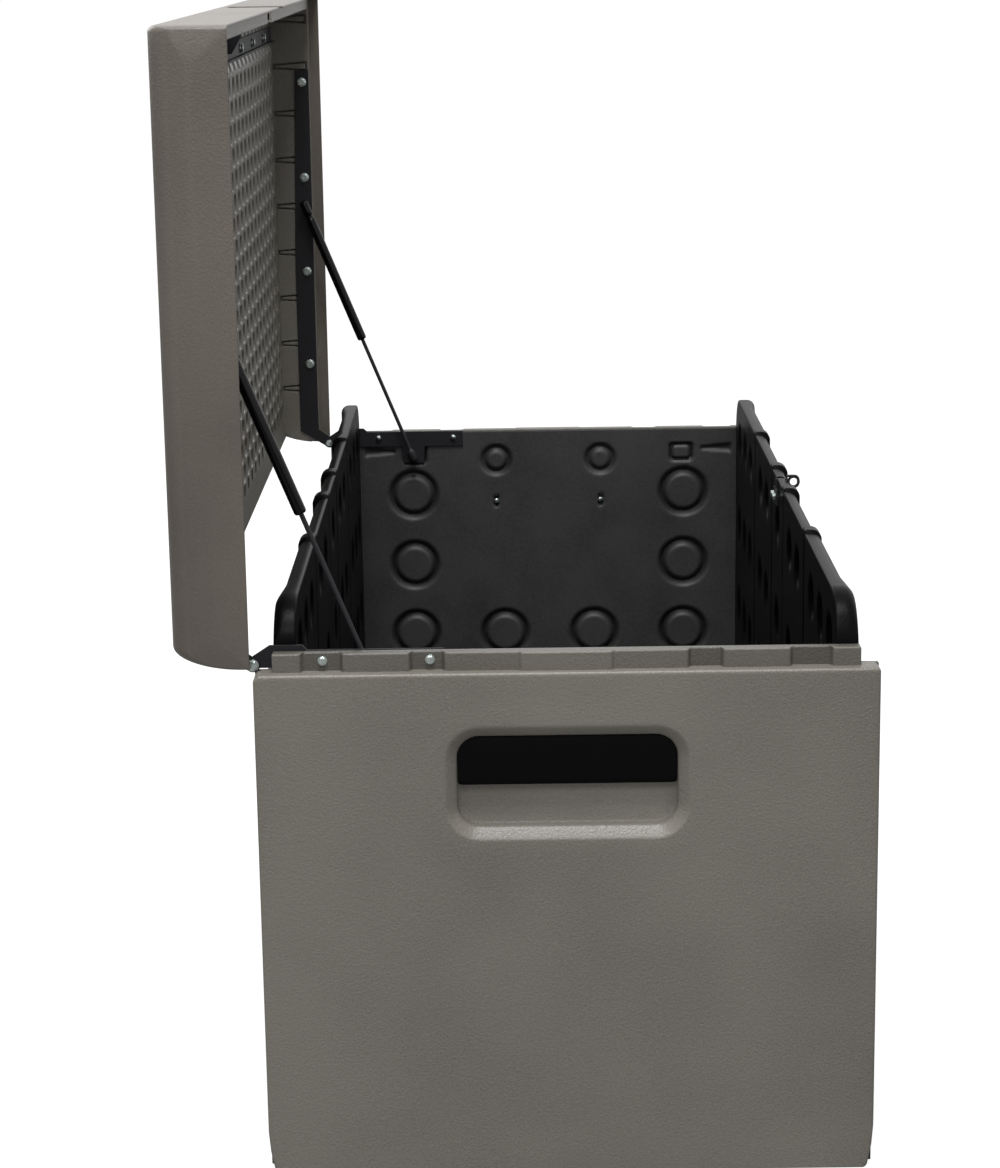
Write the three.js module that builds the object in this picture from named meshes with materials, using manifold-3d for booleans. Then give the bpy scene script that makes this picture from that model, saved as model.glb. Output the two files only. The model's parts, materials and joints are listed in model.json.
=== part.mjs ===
// Garden storage box with a hinged lid held up by two gas struts.
// Millimetres. X runs along the box, -Y is the front, +Y the hinge side and +Z up.
// The origin is on the ground at the centre of the footprint. The lid stands open.
import * as THREE from 'three';
import { mergeVertices } from 'three/addons/utils/BufferGeometryUtils.js';
import Module from 'manifold-3d';

const wasm = await Module();
wasm.setup();

// Box
const boxLength = 1530; // over the two end panels
const boxWidth = 730; // over the front and rear panels
const shoulderHeight = 625; // ground to the ledge that the lid closes over
const sheet = 3; // thickness of a moulded sheet
const fit = 0.3; // clearance between pieces that touch
const overrun = 2; // how far a cutter passes the face it opens
const footInset = 8; // how far the panels draw in at the ground
const footRise = 60; // height over which they draw in
const panelEdge = 3; // rounding of the panels' outer edges

// End panels
const endWall = 34; // outer face to inner face
const ledge = 22; // the lip stands this far in from the outer faces
const lipRise = 22; // lip above the ledge
const padProud = 6; // pads of the lip in front of its recesses
const centrePadProud = 8; // the widest pad, in the middle
const padSlope = 5; // slanted side of a pad
const lipStepShares = [0.157, 0.417, 0.53, 0.764, 0.9]; // pad ends along half the lip

// Ring dimples of the end panels' inner sheets
const ringOuter = 43.5;
const ringInner = 28;
const ringDepth = 9;
const ringSlant = 4; // how far each side of the groove leans
const ringPitch = 121.5; // between rows
const ringTopDrop = 86; // top row below the shoulder
const ringColumnEdge = 88.5; // outer columns from the long panels' inner faces
const ringRows = 4;
const smallRingOuter = 28;
const smallRingInner = 13.5;
const smallRingShare = 0.278; // small rings, and keyholes below, along half the inner width
const smallRingDrop = 25;
const bossMargin = 4; // material round a dimple on the hidden side
const squarePocket = 42; // side of the square pockets below the lip
const squarePocketHeight = 32;
const squarePocketCorner = 6;
const squarePocketLift = 2; // its middle above the strut's lower ball
const lozengeLength = 50;
const lozengeHeight = 12;

// Handhold in each end panel
const handholdWidth = 259;
const handholdHeight = 110;
const handholdCorner = 26;
const handholdDrop = 134.5; // its middle below the shoulder
const handholdDepth = 25;
const handholdShareBelowGrip = 0.447; // share of its height that the grip leaves open
const chamferWidth = 12; // sloped rim round the handhold
const chamferDepth = 6;
const gripSetback = 7; // grip behind the outer face
const gripThickness = 5;
const gripScrewDrop = 20; // screws below the top of the handhold
const gripBossRadius = 8;
const gripScrewRadius = 2.5;
const gripScrewHead = 4.5;
const keyholeWidth = 7;
const keyholeHeight = 20;

// Front and rear panels
const sideWall = 49; // outer face to inner face
const shoulderSlope = 45; // height of the sloped shoulder outside a raised wall
const raisedRise = 77; // raised wall above the shoulder
const raisedThickness = 17;
const raisedCorner = 60; // rounded upper ends of a raised wall
const raisedCrown = 13; // rounding of its outer top edge
const raisedInnerEdge = 3;
const cuffWidth = 24; // ribs that wrap over the raised wall
const cuffProud = 5; // beyond the wall's outer face
const cuffRise = 4; // and above its top
const footRim = 2; // rim at the wall's foot, above the shoulder
const cuffCrown = 5; // rounding of their outer top edge
const cuffShares = [0.117, 0.495]; // cuffs along half the wall, each side of the middle
const endPadProud = 4; // outer faces beyond the last cuffs, over the rest
const flareStart = 128; // their ends flare to the width of the wall's foot, from here
const flareEnd = 50; // to here, measured from the end
const grooveWidth = 8; // upright grooves on the inner face
const grooveDepth = 2;
const dimpleRadius = 33;
const dimpleFloorRadius = 22;
const dimpleDepth = 6;
const dimpleShares = [0, 0.235, 0.375, 0.615, 0.755, 0.895]; // columns along half the wall
const dimpleTopRise = 10; // top row above the shoulder
const dimplePitch = 137;
const dimpleRows = 4;

// Floor
const floorTop = 20;
const floorCellsAlong = 12;
const floorCellsAcross = 5;
const floorFoot = 60; // square foot in the middle

// Lid, in its own frame at the hinge axis, as if closed
const pivotBehind = 2; // hinge axis behind the rear face
const pivotRise = 5; // hinge axis above the shoulder
const lidEdge = 1; // lower edge of the lid above the hinge axis
const lidRise = 90; // lower edge to top
const lidFrontReach = 5; // front of the lid beyond the front panel
const lidOverhang = 2; // lid beyond each end panel
const lidRearCurve = 28; // rounding of the rear, measured forward
const lidRearCurveRise = 82; // and measured up
const lidFrontCorner = 5;
const lidFrontWall = 22; // outer to inner face of the front skirt
const lidRoof = 11; // top to the ceiling inside
const lidRimDrop = 7; // rear rim of the roof below the ceiling
const lidRimSlope = 37; // its slope starts this far in front of the hinge axis
const lidRimFoot = 13; // and ends here
const channelRows = 21; // rows of the ceiling's pattern, from front to rear
const channelShare = 0.625; // channel width as a share of the pitch
const channelRearMargin = 35; // last channel from the hinge axis
const channelMargin = 12; // ends of the channels from the end walls
const lidLedge = 16; // the inner sheet starts this far above the lower edge
const lidOpenAngle = 90; // degrees, as photographed
const dartCount = 9; // tapered pockets of each end wall
const dartFirst = 92; // first one from the hinge axis
const dartLast = 16; // last one from the front wall
const dartLength = 56;
const dartWide = 16;
const dartNarrow = 8;
const dartDepth = 7;
const hingeNotchRise = 30; // openings of the rear corners round the pivot bolts
const padlockNotchWidth = 64;
const padlockNotchRise = 74;
const padlockNotchCorner = 10;

// Hinge ironwork
const plate = 3; // thickness of the steel plates
const knuckleRadius = 8.5;
const knuckleRelief = 11; // round clearance in the panels
const lipBoltShares = [0.8295, 0.4636]; // its bolts, in the recesses of the lip
const lipBoltLift = 1; // above the middle of the lip
const bracketEndMargin = 16; // front end of the bracket beyond its last bolt
const bracketHeight = 25;
const bracketRearRise = 23; // plate above the hinge axis, at the rear
const bracketRearLength = 58;
const heelLength = 20; // top of the bracket and arm starts this far in front of the hinge axis
const tabWidth = 38;
const tabDrop = 28;
const armMargin = 120; // end of the arm from the lid's front
const armWide = 30;
const armNarrow = 22;
const armRise = 18; // lower edge of the arm above the hinge axis
const armBoltFirst = 134;
const armBoltEnd = 19.5; // last bolt from the arm's end
const armBolts = 4;

// Gas struts
const upperStudShare = 0.5414; // ball centre from the hinge axis, along the lid's depth
const upperStudRise = 29;
const lowerStudBehind = 141; // ball centre in front of the hinge axis
const lowerStudDrop = 24; // and below it
const strutInset = 52; // strut's middle from the outer face
const cylinderRadius = 7.5;
const cylinderLength = 218;
const rodRadius = 3;
const rodInside = 18; // rod left in the cylinder when the strut is out
const boreClearance = 0.4;
const socketRadius = 7;
const socketLength = 22; // cylinder end to ball centre
const lowerSocketLength = 15;
const ballRadius = 4.2;
const studNeckRadius = 2.6;
const studCollarRadius = 6;
const studCollarLength = 4;
const studNutRadius = 5;
const studEndProud = 1; // stud's end beyond its nut

// Fasteners
const boltRadius = 3;
const boltHeadRadius = 6.5;
const boltHeadHeight = 4.5;
const nutRadius = 5.5;
const boltTail = 5; // thread and nut behind a thin sheet

// Lock
const eyeRadius = 9;
const eyeHoleRadius = 5.5;
const eyeReach = 6; // ring centre outside the raised wall
const eyeDrop = 6; // ring centre below the top of the wall
const eyeBaseWidth = 36;
const eyeBaseHeight = 22;
const eyeBoltSpacing = 22;
const eyeSlotLeft = 3; // slot of the wall for the eye and the lid's tongue
const eyeSlotRight = 9;
const haspPlateWidth = 140;
const haspPlateDepth = 40;
const haspTongue = 32; // tongue behind the padlock's hole
const lockBarWidth = 25;
const lockBarSetback = 62; // bar's middle behind the lid's front face
const lockBarBoltShares = [-0.78, -0.52, -0.26, 0.26, 0.52, 0.78]; // screws along half the bar
const ceilingBoss = 8; // half the width of the solid blocks behind its screws

// Facets
const cornerSteps = 4;
const ringSteps = 16;
const smallRingSteps = 12;
const dimpleSteps = 8;
const boltSteps = 6;
const roundSteps = 16;

const halfLength = boxLength / 2;
const halfWidth = boxWidth / 2;
const endInner = halfLength - endWall; // inner face of an end panel
const sideInner = halfWidth - sideWall; // inner face of a side panel
const lipEnd = halfWidth - ledge;
const lipTop = shoulderHeight + lipRise;
const lipRecess = halfLength - ledge; // outer face of the lip's recesses
const raisedTop = shoulderHeight + raisedRise;
const raisedOuter = sideInner + raisedThickness;
const cuffOuter = raisedOuter + cuffProud;
const raisedFootOuter = halfWidth - ledge - fit; // outer face of the wall's foot
const sideEnd = endInner - fit; // end of the side panels
const pivotY = halfWidth + pivotBehind;
const lidDepth = boxWidth + pivotBehind + lidFrontReach;
const armLength = lidDepth - armMargin;
const ringOuterColumn = sideInner - ringColumnEdge;
const ringInnerColumn = ringOuterColumn / 3;
const smallRingColumn = sideInner * smallRingShare;
const gripScrewColumn = smallRingColumn;
const upperStudForward = lidDepth * upperStudShare;
const pivotZ = shoulderHeight + pivotRise;
const bracketOuter = endInner - fit;
const bracketInner = bracketOuter - plate;
const armInner = endInner;
const armOuter = armInner + plate;
const lidInnerEnd = armOuter + fit;
const lidTop = lidEdge + lidRise;
const lidCeiling = lidTop - lidRoof;
const lidRim = lidCeiling - lidRimDrop;
const lidSheetFoot = lidEdge + lidLedge;
const lidSheetTop = lidTop - sheet - fit; // back of the inner sheet, against the outer one

const black = { color: 0x232323, roughness: 0.75, metalness: 0 };
const taupe = { color: 0x6b665e, roughness: 0.7, metalness: 0 };
const blackSteel = { color: 0x1c1c1f, roughness: 0.45, metalness: 0.3 };
const zinc = { color: 0xb9c2bf, roughness: 0.35, metalness: 0.9 };

// Solids from three.js geometry, and back

function toSolid(geometry) {
  geometry.deleteAttribute('normal');
  geometry.deleteAttribute('uv');
  const merged = mergeVertices(geometry);
  return new wasm.Manifold(new wasm.Mesh({
    numProp: 3,
    vertProperties: merged.attributes.position.array,
    triVerts: merged.index.array,
  }));
}

function toGeometry(solid) {
  const mesh = solid.getMesh();
  const geometry = new THREE.BufferGeometry();
  geometry.setAttribute('position', new THREE.BufferAttribute(mesh.vertProperties, 3));
  geometry.setIndex(new THREE.BufferAttribute(mesh.triVerts, 1));
  geometry.computeVertexNormals();
  return geometry;
}

const join = (...parts) => parts.reduce((whole, part) => whole.add(part));
const cut = (body, ...tools) => tools.reduce((rest, tool) => rest.subtract(tool), body);

function polygon(points) {
  return new THREE.Shape(points.map(([a, b]) => new THREE.Vector2(a, b)));
}

function roundedRectangle(width, height, radius, centreA, centreB) {
  const a = width / 2;
  const b = height / 2;
  const shape = new THREE.Shape();
  shape.absarc(centreA + a - radius, centreB - b + radius, radius, -Math.PI / 2, 0);
  shape.absarc(centreA + a - radius, centreB + b - radius, radius, 0, Math.PI / 2);
  shape.absarc(centreA - a + radius, centreB + b - radius, radius, Math.PI / 2, Math.PI);
  shape.absarc(centreA - a + radius, centreB - b + radius, radius, Math.PI, Math.PI * 1.5);
  return shape;
}

function extrude(shape, depth, edge) {
  return new THREE.ExtrudeGeometry(shape, {
    depth: depth - 2 * edge,
    curveSegments: cornerSteps,
    bevelEnabled: edge > 0,
    bevelThickness: edge,
    bevelSize: edge,
    bevelOffset: -edge,
    bevelSegments: 2,
  }).translate(0, 0, edge);
}

const axisX = new THREE.Vector3(1, 0, 0);
const axisY = new THREE.Vector3(0, 1, 0);
const axisZ = new THREE.Vector3(0, 0, 1);

// A (y, z) shape carried along X
function prismX(shape, from, to, edge = 0) {
  const turn = new THREE.Matrix4().makeBasis(axisY, axisZ, axisX);
  return toSolid(extrude(shape, to - from, edge).applyMatrix4(turn).translate(from, 0, 0));
}

// An (x, z) shape carried along Y
function prismY(shape, from, to, edge = 0) {
  const turn = new THREE.Matrix4().makeBasis(axisX, axisZ, axisY.clone().negate());
  return toSolid(extrude(shape, to - from, edge).applyMatrix4(turn).translate(0, to, 0));
}

// An (x, y) shape carried along Z
function prismZ(shape, from, to) {
  return toSolid(extrude(shape, to - from, 0).translate(0, 0, from));
}

function box(x0, x1, y0, y1, z0, z1) {
  const block = new THREE.BoxGeometry(x1 - x0, y1 - y0, z1 - z0);
  return toSolid(block.translate((x0 + x1) / 2, (y0 + y1) / 2, (z0 + z1) / 2));
}

function rodX(radius, x0, x1, y, z, sides = roundSteps) {
  const bar = new THREE.CylinderGeometry(radius, radius, x1 - x0, sides);
  return toSolid(bar.rotateZ(-Math.PI / 2).translate((x0 + x1) / 2, y, z));
}

function rodY(radius, y0, y1, x, z, sides = roundSteps) {
  const bar = new THREE.CylinderGeometry(radius, radius, y1 - y0, sides);
  return toSolid(bar.translate(x, (y0 + y1) / 2, z));
}

function rodZ(radius, z0, z1, x, y, sides = roundSteps) {
  const bar = new THREE.CylinderGeometry(radius, radius, z1 - z0, sides);
  return toSolid(bar.rotateX(Math.PI / 2).translate(x, y, (z0 + z1) / 2));
}

// The same geometry on the other side of the box, with its faces still outwards
function mirrored(geometry, axis) {
  const other = geometry.clone().scale(...(axis === 'x' ? [-1, 1, 1] : [1, -1, 1]));
  const index = other.index.array;
  for (let i = 0; i < index.length; i += 3) {
    [index[i + 1], index[i + 2]] = [index[i + 2], index[i + 1]];
  }
  return other;
}

// End panels, made for the right-hand end

function panelOutline(inset) {
  const side = halfWidth - inset;
  const foot = side - footInset;
  const shape = new THREE.Shape();
  shape.moveTo(-foot, inset);
  shape.lineTo(foot, inset);
  shape.quadraticCurveTo(side, footRise / 2.5, side, footRise);
  shape.lineTo(side, shoulderHeight - inset);
  shape.lineTo(-side, shoulderHeight - inset);
  shape.lineTo(-side, footRise);
  shape.quadraticCurveTo(-side, footRise / 2.5, -foot, inset);
  return shape;
}

// Plan of the lip: pads and recesses, the same each side of the middle
function lipOutline(inner) {
  const levels = [centrePadProud, padProud, 0, padProud, 0, padProud];
  const half = [];
  lipStepShares.forEach((share, i) => {
    half.push([lipRecess + levels[i], share * lipEnd - padSlope / 2]);
    half.push([lipRecess + levels[i + 1], share * lipEnd + padSlope / 2]);
  });
  half.push([lipRecess + padProud, lipEnd]);
  const other = half.map(([x, y]) => [x, -y]).reverse();
  return polygon([[inner, -lipEnd], ...other, ...half, [inner, lipEnd]]);
}

function handholdOutline(grow) {
  return roundedRectangle(
    handholdWidth + 2 * grow,
    handholdHeight + 2 * grow,
    handholdCorner + grow,
    0,
    shoulderHeight - handholdDrop,
  );
}

const handholdBottom = shoulderHeight - handholdDrop - handholdHeight / 2;
const gripBottom = handholdBottom + handholdHeight * handholdShareBelowGrip;
const gripScrewZ = handholdBottom + handholdHeight - gripScrewDrop;
const lipBoltZ = shoulderHeight + lipRise / 2 + lipBoltLift;
const lipBoltYs = lipBoltShares.map((share) => share * lipEnd);
const bracketFront = Math.min(...lipBoltYs) - bracketEndMargin;

function pivotRelief() {
  const inner = bracketInner - boltTail - overrun;
  return rodX(knuckleRelief, inner, halfLength + overrun, pivotY, pivotZ);
}

function lipBoltHoles() {
  return lipBoltYs.map((y) => (
    rodX(boltRadius + fit, bracketInner - overrun, halfLength, y, lipBoltZ, boltSteps)
  ));
}

function endSkin() {
  const back = endInner + sheet + fit;
  const front = halfLength;
  const cupOuter = front - handholdDepth - sheet;
  let body = prismX(panelOutline(0), back, front, panelEdge);
  body = cut(body, prismX(panelOutline(sheet), back - overrun, front - sheet));
  const rimBack = front - chamferDepth - sheet;
  const cup = cut(
    prismX(handholdOutline(sheet), cupOuter, front - sheet / 2),
    box(cupOuter - overrun, rimBack, -halfWidth, halfWidth, gripBottom, shoulderHeight),
  );
  const rim = prismX(handholdOutline(chamferWidth + sheet), rimBack, front - sheet / 2);
  const lip = prismZ(lipOutline(back), shoulderHeight - sheet, lipTop);
  body = join(body, cup, rim, lip);
  const opening = prismX(handholdOutline(0), front - handholdDepth, front + overrun);
  const behindGrip = cut(
    prismX(handholdOutline(sheet + overrun), back - overrun, rimBack),
    box(back - overrun * 2, front, -halfWidth, halfWidth, 0, gripBottom),
  );
  return toGeometry(cut(
    body, opening, handholdChamfer(), behindGrip, pivotRelief(), ...lipBoltHoles(),
  ));
}

// Cutter that slopes from a wider outline on the outer face to the handhold's own
function handholdChamfer() {
  const turn = new THREE.Matrix4().makeBasis(axisY, axisZ, axisX);
  const flare = new THREE.ExtrudeGeometry(handholdOutline(chamferWidth), {
    depth: chamferDepth,
    curveSegments: cornerSteps,
    bevelThickness: chamferDepth,
    bevelSize: chamferWidth,
    bevelOffset: -chamferWidth,
    bevelSegments: 1,
  });
  return toSolid(flare.applyMatrix4(turn).translate(halfLength, 0, 0));
}

// A round groove sunk into the +X side of an end liner, as a cutter
function ringGroove(y, z, outer, inner, steps) {
  const profile = [
    [inner + ringSlant, ringDepth],
    [inner, -overrun],
    [outer, -overrun],
    [outer - ringSlant, ringDepth],
    [inner + ringSlant, ringDepth],
  ].map(([r, h]) => new THREE.Vector2(r, h));
  const ring = new THREE.LatheGeometry(profile, steps).rotateZ(-Math.PI / 2);
  return toSolid(ring.translate(endInner, y, z));
}

function ringPlaces() {
  const places = [];
  for (let row = 0; row < ringRows; row += 1) {
    const z = shoulderHeight - ringTopDrop - row * ringPitch;
    const columns = row < 2 ? [ringOuterColumn] : [ringOuterColumn, ringInnerColumn];
    columns.forEach((y) => places.push([y, z], [-y, z]));
  }
  return places;
}

const tabMiddle = pivotY - lowerStudBehind;
const squarePocketZ = pivotZ - lowerStudDrop + squarePocketLift;

function endLiner() {
  const back = endInner + sheet;
  const plateBody = prismX(panelOutline(0), endInner, back);
  const lipBack = box(endInner, back, -lipEnd, lipEnd, shoulderHeight - sheet, lipTop - overrun);
  const bosses = [];
  const cutters = [];
  const boss = (y, z, halfY, halfZ) => {
    bosses.push(box(endInner, back + ringDepth, y - halfY, y + halfY, z - halfZ, z + halfZ));
  };
  ringPlaces().forEach(([y, z]) => {
    boss(y, z, ringOuter + bossMargin, ringOuter + bossMargin);
    cutters.push(ringGroove(y, z, ringOuter, ringInner, ringSteps));
  });
  [-smallRingColumn, smallRingColumn].forEach((y) => {
    const z = shoulderHeight - smallRingDrop - smallRingOuter / 4;
    boss(y, z, smallRingOuter + bossMargin, smallRingOuter);
    cutters.push(ringGroove(y, z, smallRingOuter, smallRingInner, smallRingSteps));
  });
  [-tabMiddle, tabMiddle].forEach((y) => {
    const halfY = squarePocket / 2;
    const halfZ = squarePocketHeight / 2;
    boss(y, squarePocketZ - bossMargin, halfY + bossMargin, halfZ);
    const pocket = roundedRectangle(
      squarePocket, squarePocketHeight, squarePocketCorner, y, squarePocketZ - bossMargin,
    );
    cutters.push(prismX(pocket, endInner - overrun, endInner + ringDepth));
  });
  [-1, 1].forEach((side) => {
    const near = sideInner - overrun * 4;
    const far = near - lozengeLength;
    const z = shoulderHeight - lozengeHeight;
    cutters.push(prismX(polygon([
      [side * near, z - lozengeHeight / 2],
      [side * near, z + lozengeHeight / 2],
      [side * far, z + lozengeHeight / 8],
      [side * far, z - lozengeHeight / 8],
    ].slice(0).sort((a, b) => Math.atan2(a[1] - z, a[0] - side * (near + far) / 2)
      - Math.atan2(b[1] - z, b[0] - side * (near + far) / 2))), endInner - overrun, endInner + sheet / 2));
    const keyhole = roundedRectangle(
      keyholeWidth, keyholeHeight, keyholeWidth / 2 - fit, side * gripScrewColumn, gripScrewZ,
    );
    cutters.push(prismX(keyhole, endInner - overrun, back + overrun));
  });
  const body = join(plateBody, lipBack, ...bosses);
  return toGeometry(cut(body, ...cutters, pivotRelief(), ...lipBoltHoles()));
}

function endGrip() {
  const front = halfLength - gripSetback;
  const faceHeight = handholdHeight * (1 - handholdShareBelowGrip) - fit * 2;
  const facePlate = cut(
    prismX(handholdOutline(-fit), front - gripThickness, front),
    box(front - gripThickness * 2, front + overrun, -halfWidth, halfWidth, 0, gripBottom),
  );
  const lowerBead = box(
    front - gripThickness * 2,
    front,
    -handholdWidth / 2 + handholdCorner / 2,
    handholdWidth / 2 - handholdCorner / 2,
    gripBottom,
    gripBottom + faceHeight / 8,
  );
  const bosses = [-gripScrewColumn, gripScrewColumn].map((y) => (
    rodX(gripBossRadius, endInner + sheet + fit, front - gripThickness / 2, y, gripScrewZ, smallRingSteps)
  ));
  const holes = [-gripScrewColumn, gripScrewColumn].map((y) => (
    rodX(gripScrewRadius + fit, endInner, front - gripThickness, y, gripScrewZ, boltSteps)
  ));
  return toGeometry(cut(join(facePlate, lowerBead, ...bosses), ...holes));
}

function gripScrew(y) {
  const headFace = endInner - fit;
  const tip = halfLength - gripSetback - gripThickness - fit;
  const head = rodX(gripScrewHead, headFace - sheet / 2, headFace, y, gripScrewZ, boltSteps);
  const shank = rodX(gripScrewRadius, headFace - fit, tip, y, gripScrewZ, boltSteps);
  return toGeometry(join(head, shank));
}

// Front and rear panels, made for the rear

// Section of the outer sheet: drawn in at the ground like the end panels
function sideSkinSection(inset, inner) {
  const side = halfWidth - inset;
  const shape = new THREE.Shape();
  shape.moveTo(inner, inset);
  shape.lineTo(side - footInset, inset);
  shape.quadraticCurveTo(side, footRise / 2.5, side, footRise);
  shape.lineTo(side, shoulderHeight - shoulderSlope - inset);
  shape.lineTo(raisedFootOuter + fit + sheet - inset, shoulderHeight - inset);
  shape.lineTo(inner, shoulderHeight - inset);
  return shape;
}

function sideSkin() {
  const inner = sideInner + sheet + fit;
  const slotEnd = raisedFootOuter + fit;
  const slotFoot = shoulderHeight - raisedRise / 4;
  return toGeometry(cut(
    prismX(sideSkinSection(0, inner), -sideEnd, sideEnd),
    prismX(sideSkinSection(sheet, inner - overrun), -sideEnd + sheet, sideEnd - sheet),
    box(-halfLength, halfLength, inner - overrun, slotEnd, slotFoot, raisedTop),
  ));
}

function mirroredRelief() {
  const inner = bracketInner - boltTail - overrun;
  return rodX(knuckleRelief, -halfLength - overrun, -inner, pivotY, pivotZ);
}

// Section of a raised wall between an inner and an outer face
function raisedSection(inner, outer, top, foot, crown, innerEdge = raisedInnerEdge) {
  const shape = new THREE.Shape();
  shape.moveTo(inner, foot);
  shape.lineTo(outer, foot);
  shape.absarc(outer - crown, top - crown, crown, 0, Math.PI / 2);
  shape.lineTo(inner + innerEdge, top);
  shape.lineTo(inner, top - innerEdge);
  return shape;
}

// Front view of a raised wall, with its upper ends rounded
function raisedFront(inset, top) {
  const end = sideEnd - inset;
  const corner = raisedCorner - inset;
  const shape = new THREE.Shape();
  shape.moveTo(-end, 0);
  shape.lineTo(end, 0);
  shape.absarc(end - corner, top - corner, corner, 0, Math.PI / 2);
  shape.absarc(-end + corner, top - corner, corner, Math.PI / 2, Math.PI);
  return shape;
}

function dimple(x, z) {
  const depth = dimpleDepth + overrun;
  const cone = new THREE.CylinderGeometry(dimpleFloorRadius, dimpleRadius, depth, dimpleSteps);
  return toSolid(cone.translate(x, sideInner + dimpleDepth - depth / 2, z));
}

// Places along a long wall from shares of half its length, on both sides of the middle
function bothSides(shares) {
  return shares.flatMap((share) => (share === 0 ? [0] : [-share * sideEnd, share * sideEnd]));
}

// Thicker ends of a raised wall, from the last cuffs outwards
function raisedEndPads(foot) {
  const start = Math.max(...cuffShares) * sideEnd;
  const section = raisedSection(sideInner, raisedFootOuter, raisedTop, foot, raisedCrown);
  return [-1, 1].map((side) => {
    const ends = [side * start, side * sideEnd].sort((a, b) => a - b);
    const plan = [
      [start - overrun, sideInner - overrun],
      [sideEnd + overrun, sideInner - overrun],
      [sideEnd + overrun, raisedFootOuter],
      [sideEnd - flareEnd, raisedFootOuter],
      [sideEnd - flareStart, raisedOuter + endPadProud],
      [start - overrun, raisedOuter + endPadProud],
    ].map(([x, y]) => [side * x, y]);
    return prismX(section, ...ends)
      .intersect(prismY(raisedFront(0, raisedTop), 0, halfWidth))
      .intersect(prismZ(polygon(plan), foot, raisedTop + overrun));
  });
}

function sideLiner(isRear) {
  const inner = sideInner;
  const raisedFoot = shoulderHeight - raisedRise / 5;
  const sheetBody = box(-sideEnd, sideEnd, inner, inner + sheet, 0, raisedFoot + sheet);
  const section = raisedSection(inner, raisedOuter, raisedTop, raisedFoot, raisedCrown);
  let raised = prismX(section, -sideEnd, sideEnd);
  raised = raised.intersect(prismY(raisedFront(0, raisedTop), 0, halfWidth));
  const hollow = prismX(
    raisedSection(
      inner + sheet, raisedOuter - sheet, raisedTop - sheet, raisedFoot - overrun, raisedCrown - sheet, fit,
    ),
    -sideEnd + sheet,
    sideEnd - sheet,
  ).intersect(prismY(raisedFront(sheet, raisedTop - sheet), 0, halfWidth));
  raised = cut(join(raised, ...raisedEndPads(raisedFoot)), hollow);
  const foot = box(
    -sideEnd, sideEnd, raisedOuter - sheet, raisedFootOuter,
    shoulderHeight - sheet * 3, shoulderHeight + footRim,
  );
  const cuffs = bothSides(cuffShares).map((x) => prismX(
    raisedSection(raisedOuter - sheet / 2, cuffOuter, raisedTop + cuffRise, shoulderHeight, cuffCrown, fit),
    x - cuffWidth / 2,
    x + cuffWidth / 2,
  ));
  const caps = bothSides(cuffShares).map((x) => box(
    x - cuffWidth / 2,
    x + cuffWidth / 2,
    inner + raisedInnerEdge,
    raisedOuter,
    raisedTop - sheet / 2,
    raisedTop + cuffRise,
  ));
  const bosses = [];
  const cutters = [];
  for (let row = 0; row < dimpleRows; row += 1) {
    const z = shoulderHeight + dimpleTopRise - row * dimplePitch;
    const half = dimpleRadius * 0.9;
    bothSides(dimpleShares).forEach((x) => {
      bosses.push(box(x - half, x + half, inner, inner + sheet + dimpleDepth, z - half, z + half));
      cutters.push(dimple(x, z));
    });
  }
  bothSides(cuffShares).forEach((x) => {
    const half = grooveWidth / 2;
    const foot = floorTop + grooveWidth;
    const head = raisedTop - cuffWidth;
    cutters.push(box(x - half, x + half, inner - overrun, inner + grooveDepth, foot, head));
  });
  if (isRear) {
    [-1, 1].forEach((side) => {
      const ends = [side * (bracketInner - fit), side * halfLength].sort((a, b) => a - b);
      cutters.push(box(
        ...ends, inner - overrun, halfWidth, shoulderHeight - overrun * 3, pivotZ + bracketRearRise + fit,
      ));
    });
    cutters.push(pivotRelief(), mirroredRelief());
  } else {
    const slotFoot = raisedTop - eyeDrop - eyeRadius - fit;
    cutters.push(box(-eyeSlotLeft, eyeSlotRight, inner - overrun, halfWidth, slotFoot, raisedTop + overrun));
    eyeBoltPlaces().forEach(([x, z]) => {
      cutters.push(rodY(boltRadius + fit, inner - overrun, raisedOuter + overrun, x, z, boltSteps));
    });
  }
  return toGeometry(cut(join(sheetBody, raised, foot, ...cuffs, ...caps, ...bosses), ...cutters));
}

function eyeBoltPlaces() {
  const z = raisedTop - eyeDrop - eyeRadius - eyeBaseHeight / 2;
  return [[-eyeBoltSpacing / 2, z], [eyeBoltSpacing / 2, z]];
}

// Floor: a deck on crossing ribs that stands on the ground between the walls
function floorPanel() {
  const halfX = endInner - fit;
  const halfY = sideInner - fit;
  const pitchX = (2 * halfX - sheet) / floorCellsAlong;
  const pitchY = (2 * halfY - sheet) / floorCellsAcross;
  const cells = [];
  for (let i = 0; i < floorCellsAlong; i += 1) {
    for (let j = 0; j < floorCellsAcross; j += 1) {
      const x = -halfX + sheet + i * pitchX;
      const y = -halfY + sheet + j * pitchY;
      cells.push(box(x, x + pitchX - sheet, y, y + pitchY - sheet, -overrun, floorTop - sheet));
    }
  }
  const foot = floorFoot / 2;
  const hollow = cut(join(...cells), box(-foot, foot, -foot, foot, -sheet, floorTop));
  return toGeometry(cut(box(-halfX, halfX, -halfY, halfY, 0, floorTop), hollow));
}

// Lid, in the frame of its hinge axis, as if closed

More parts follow.
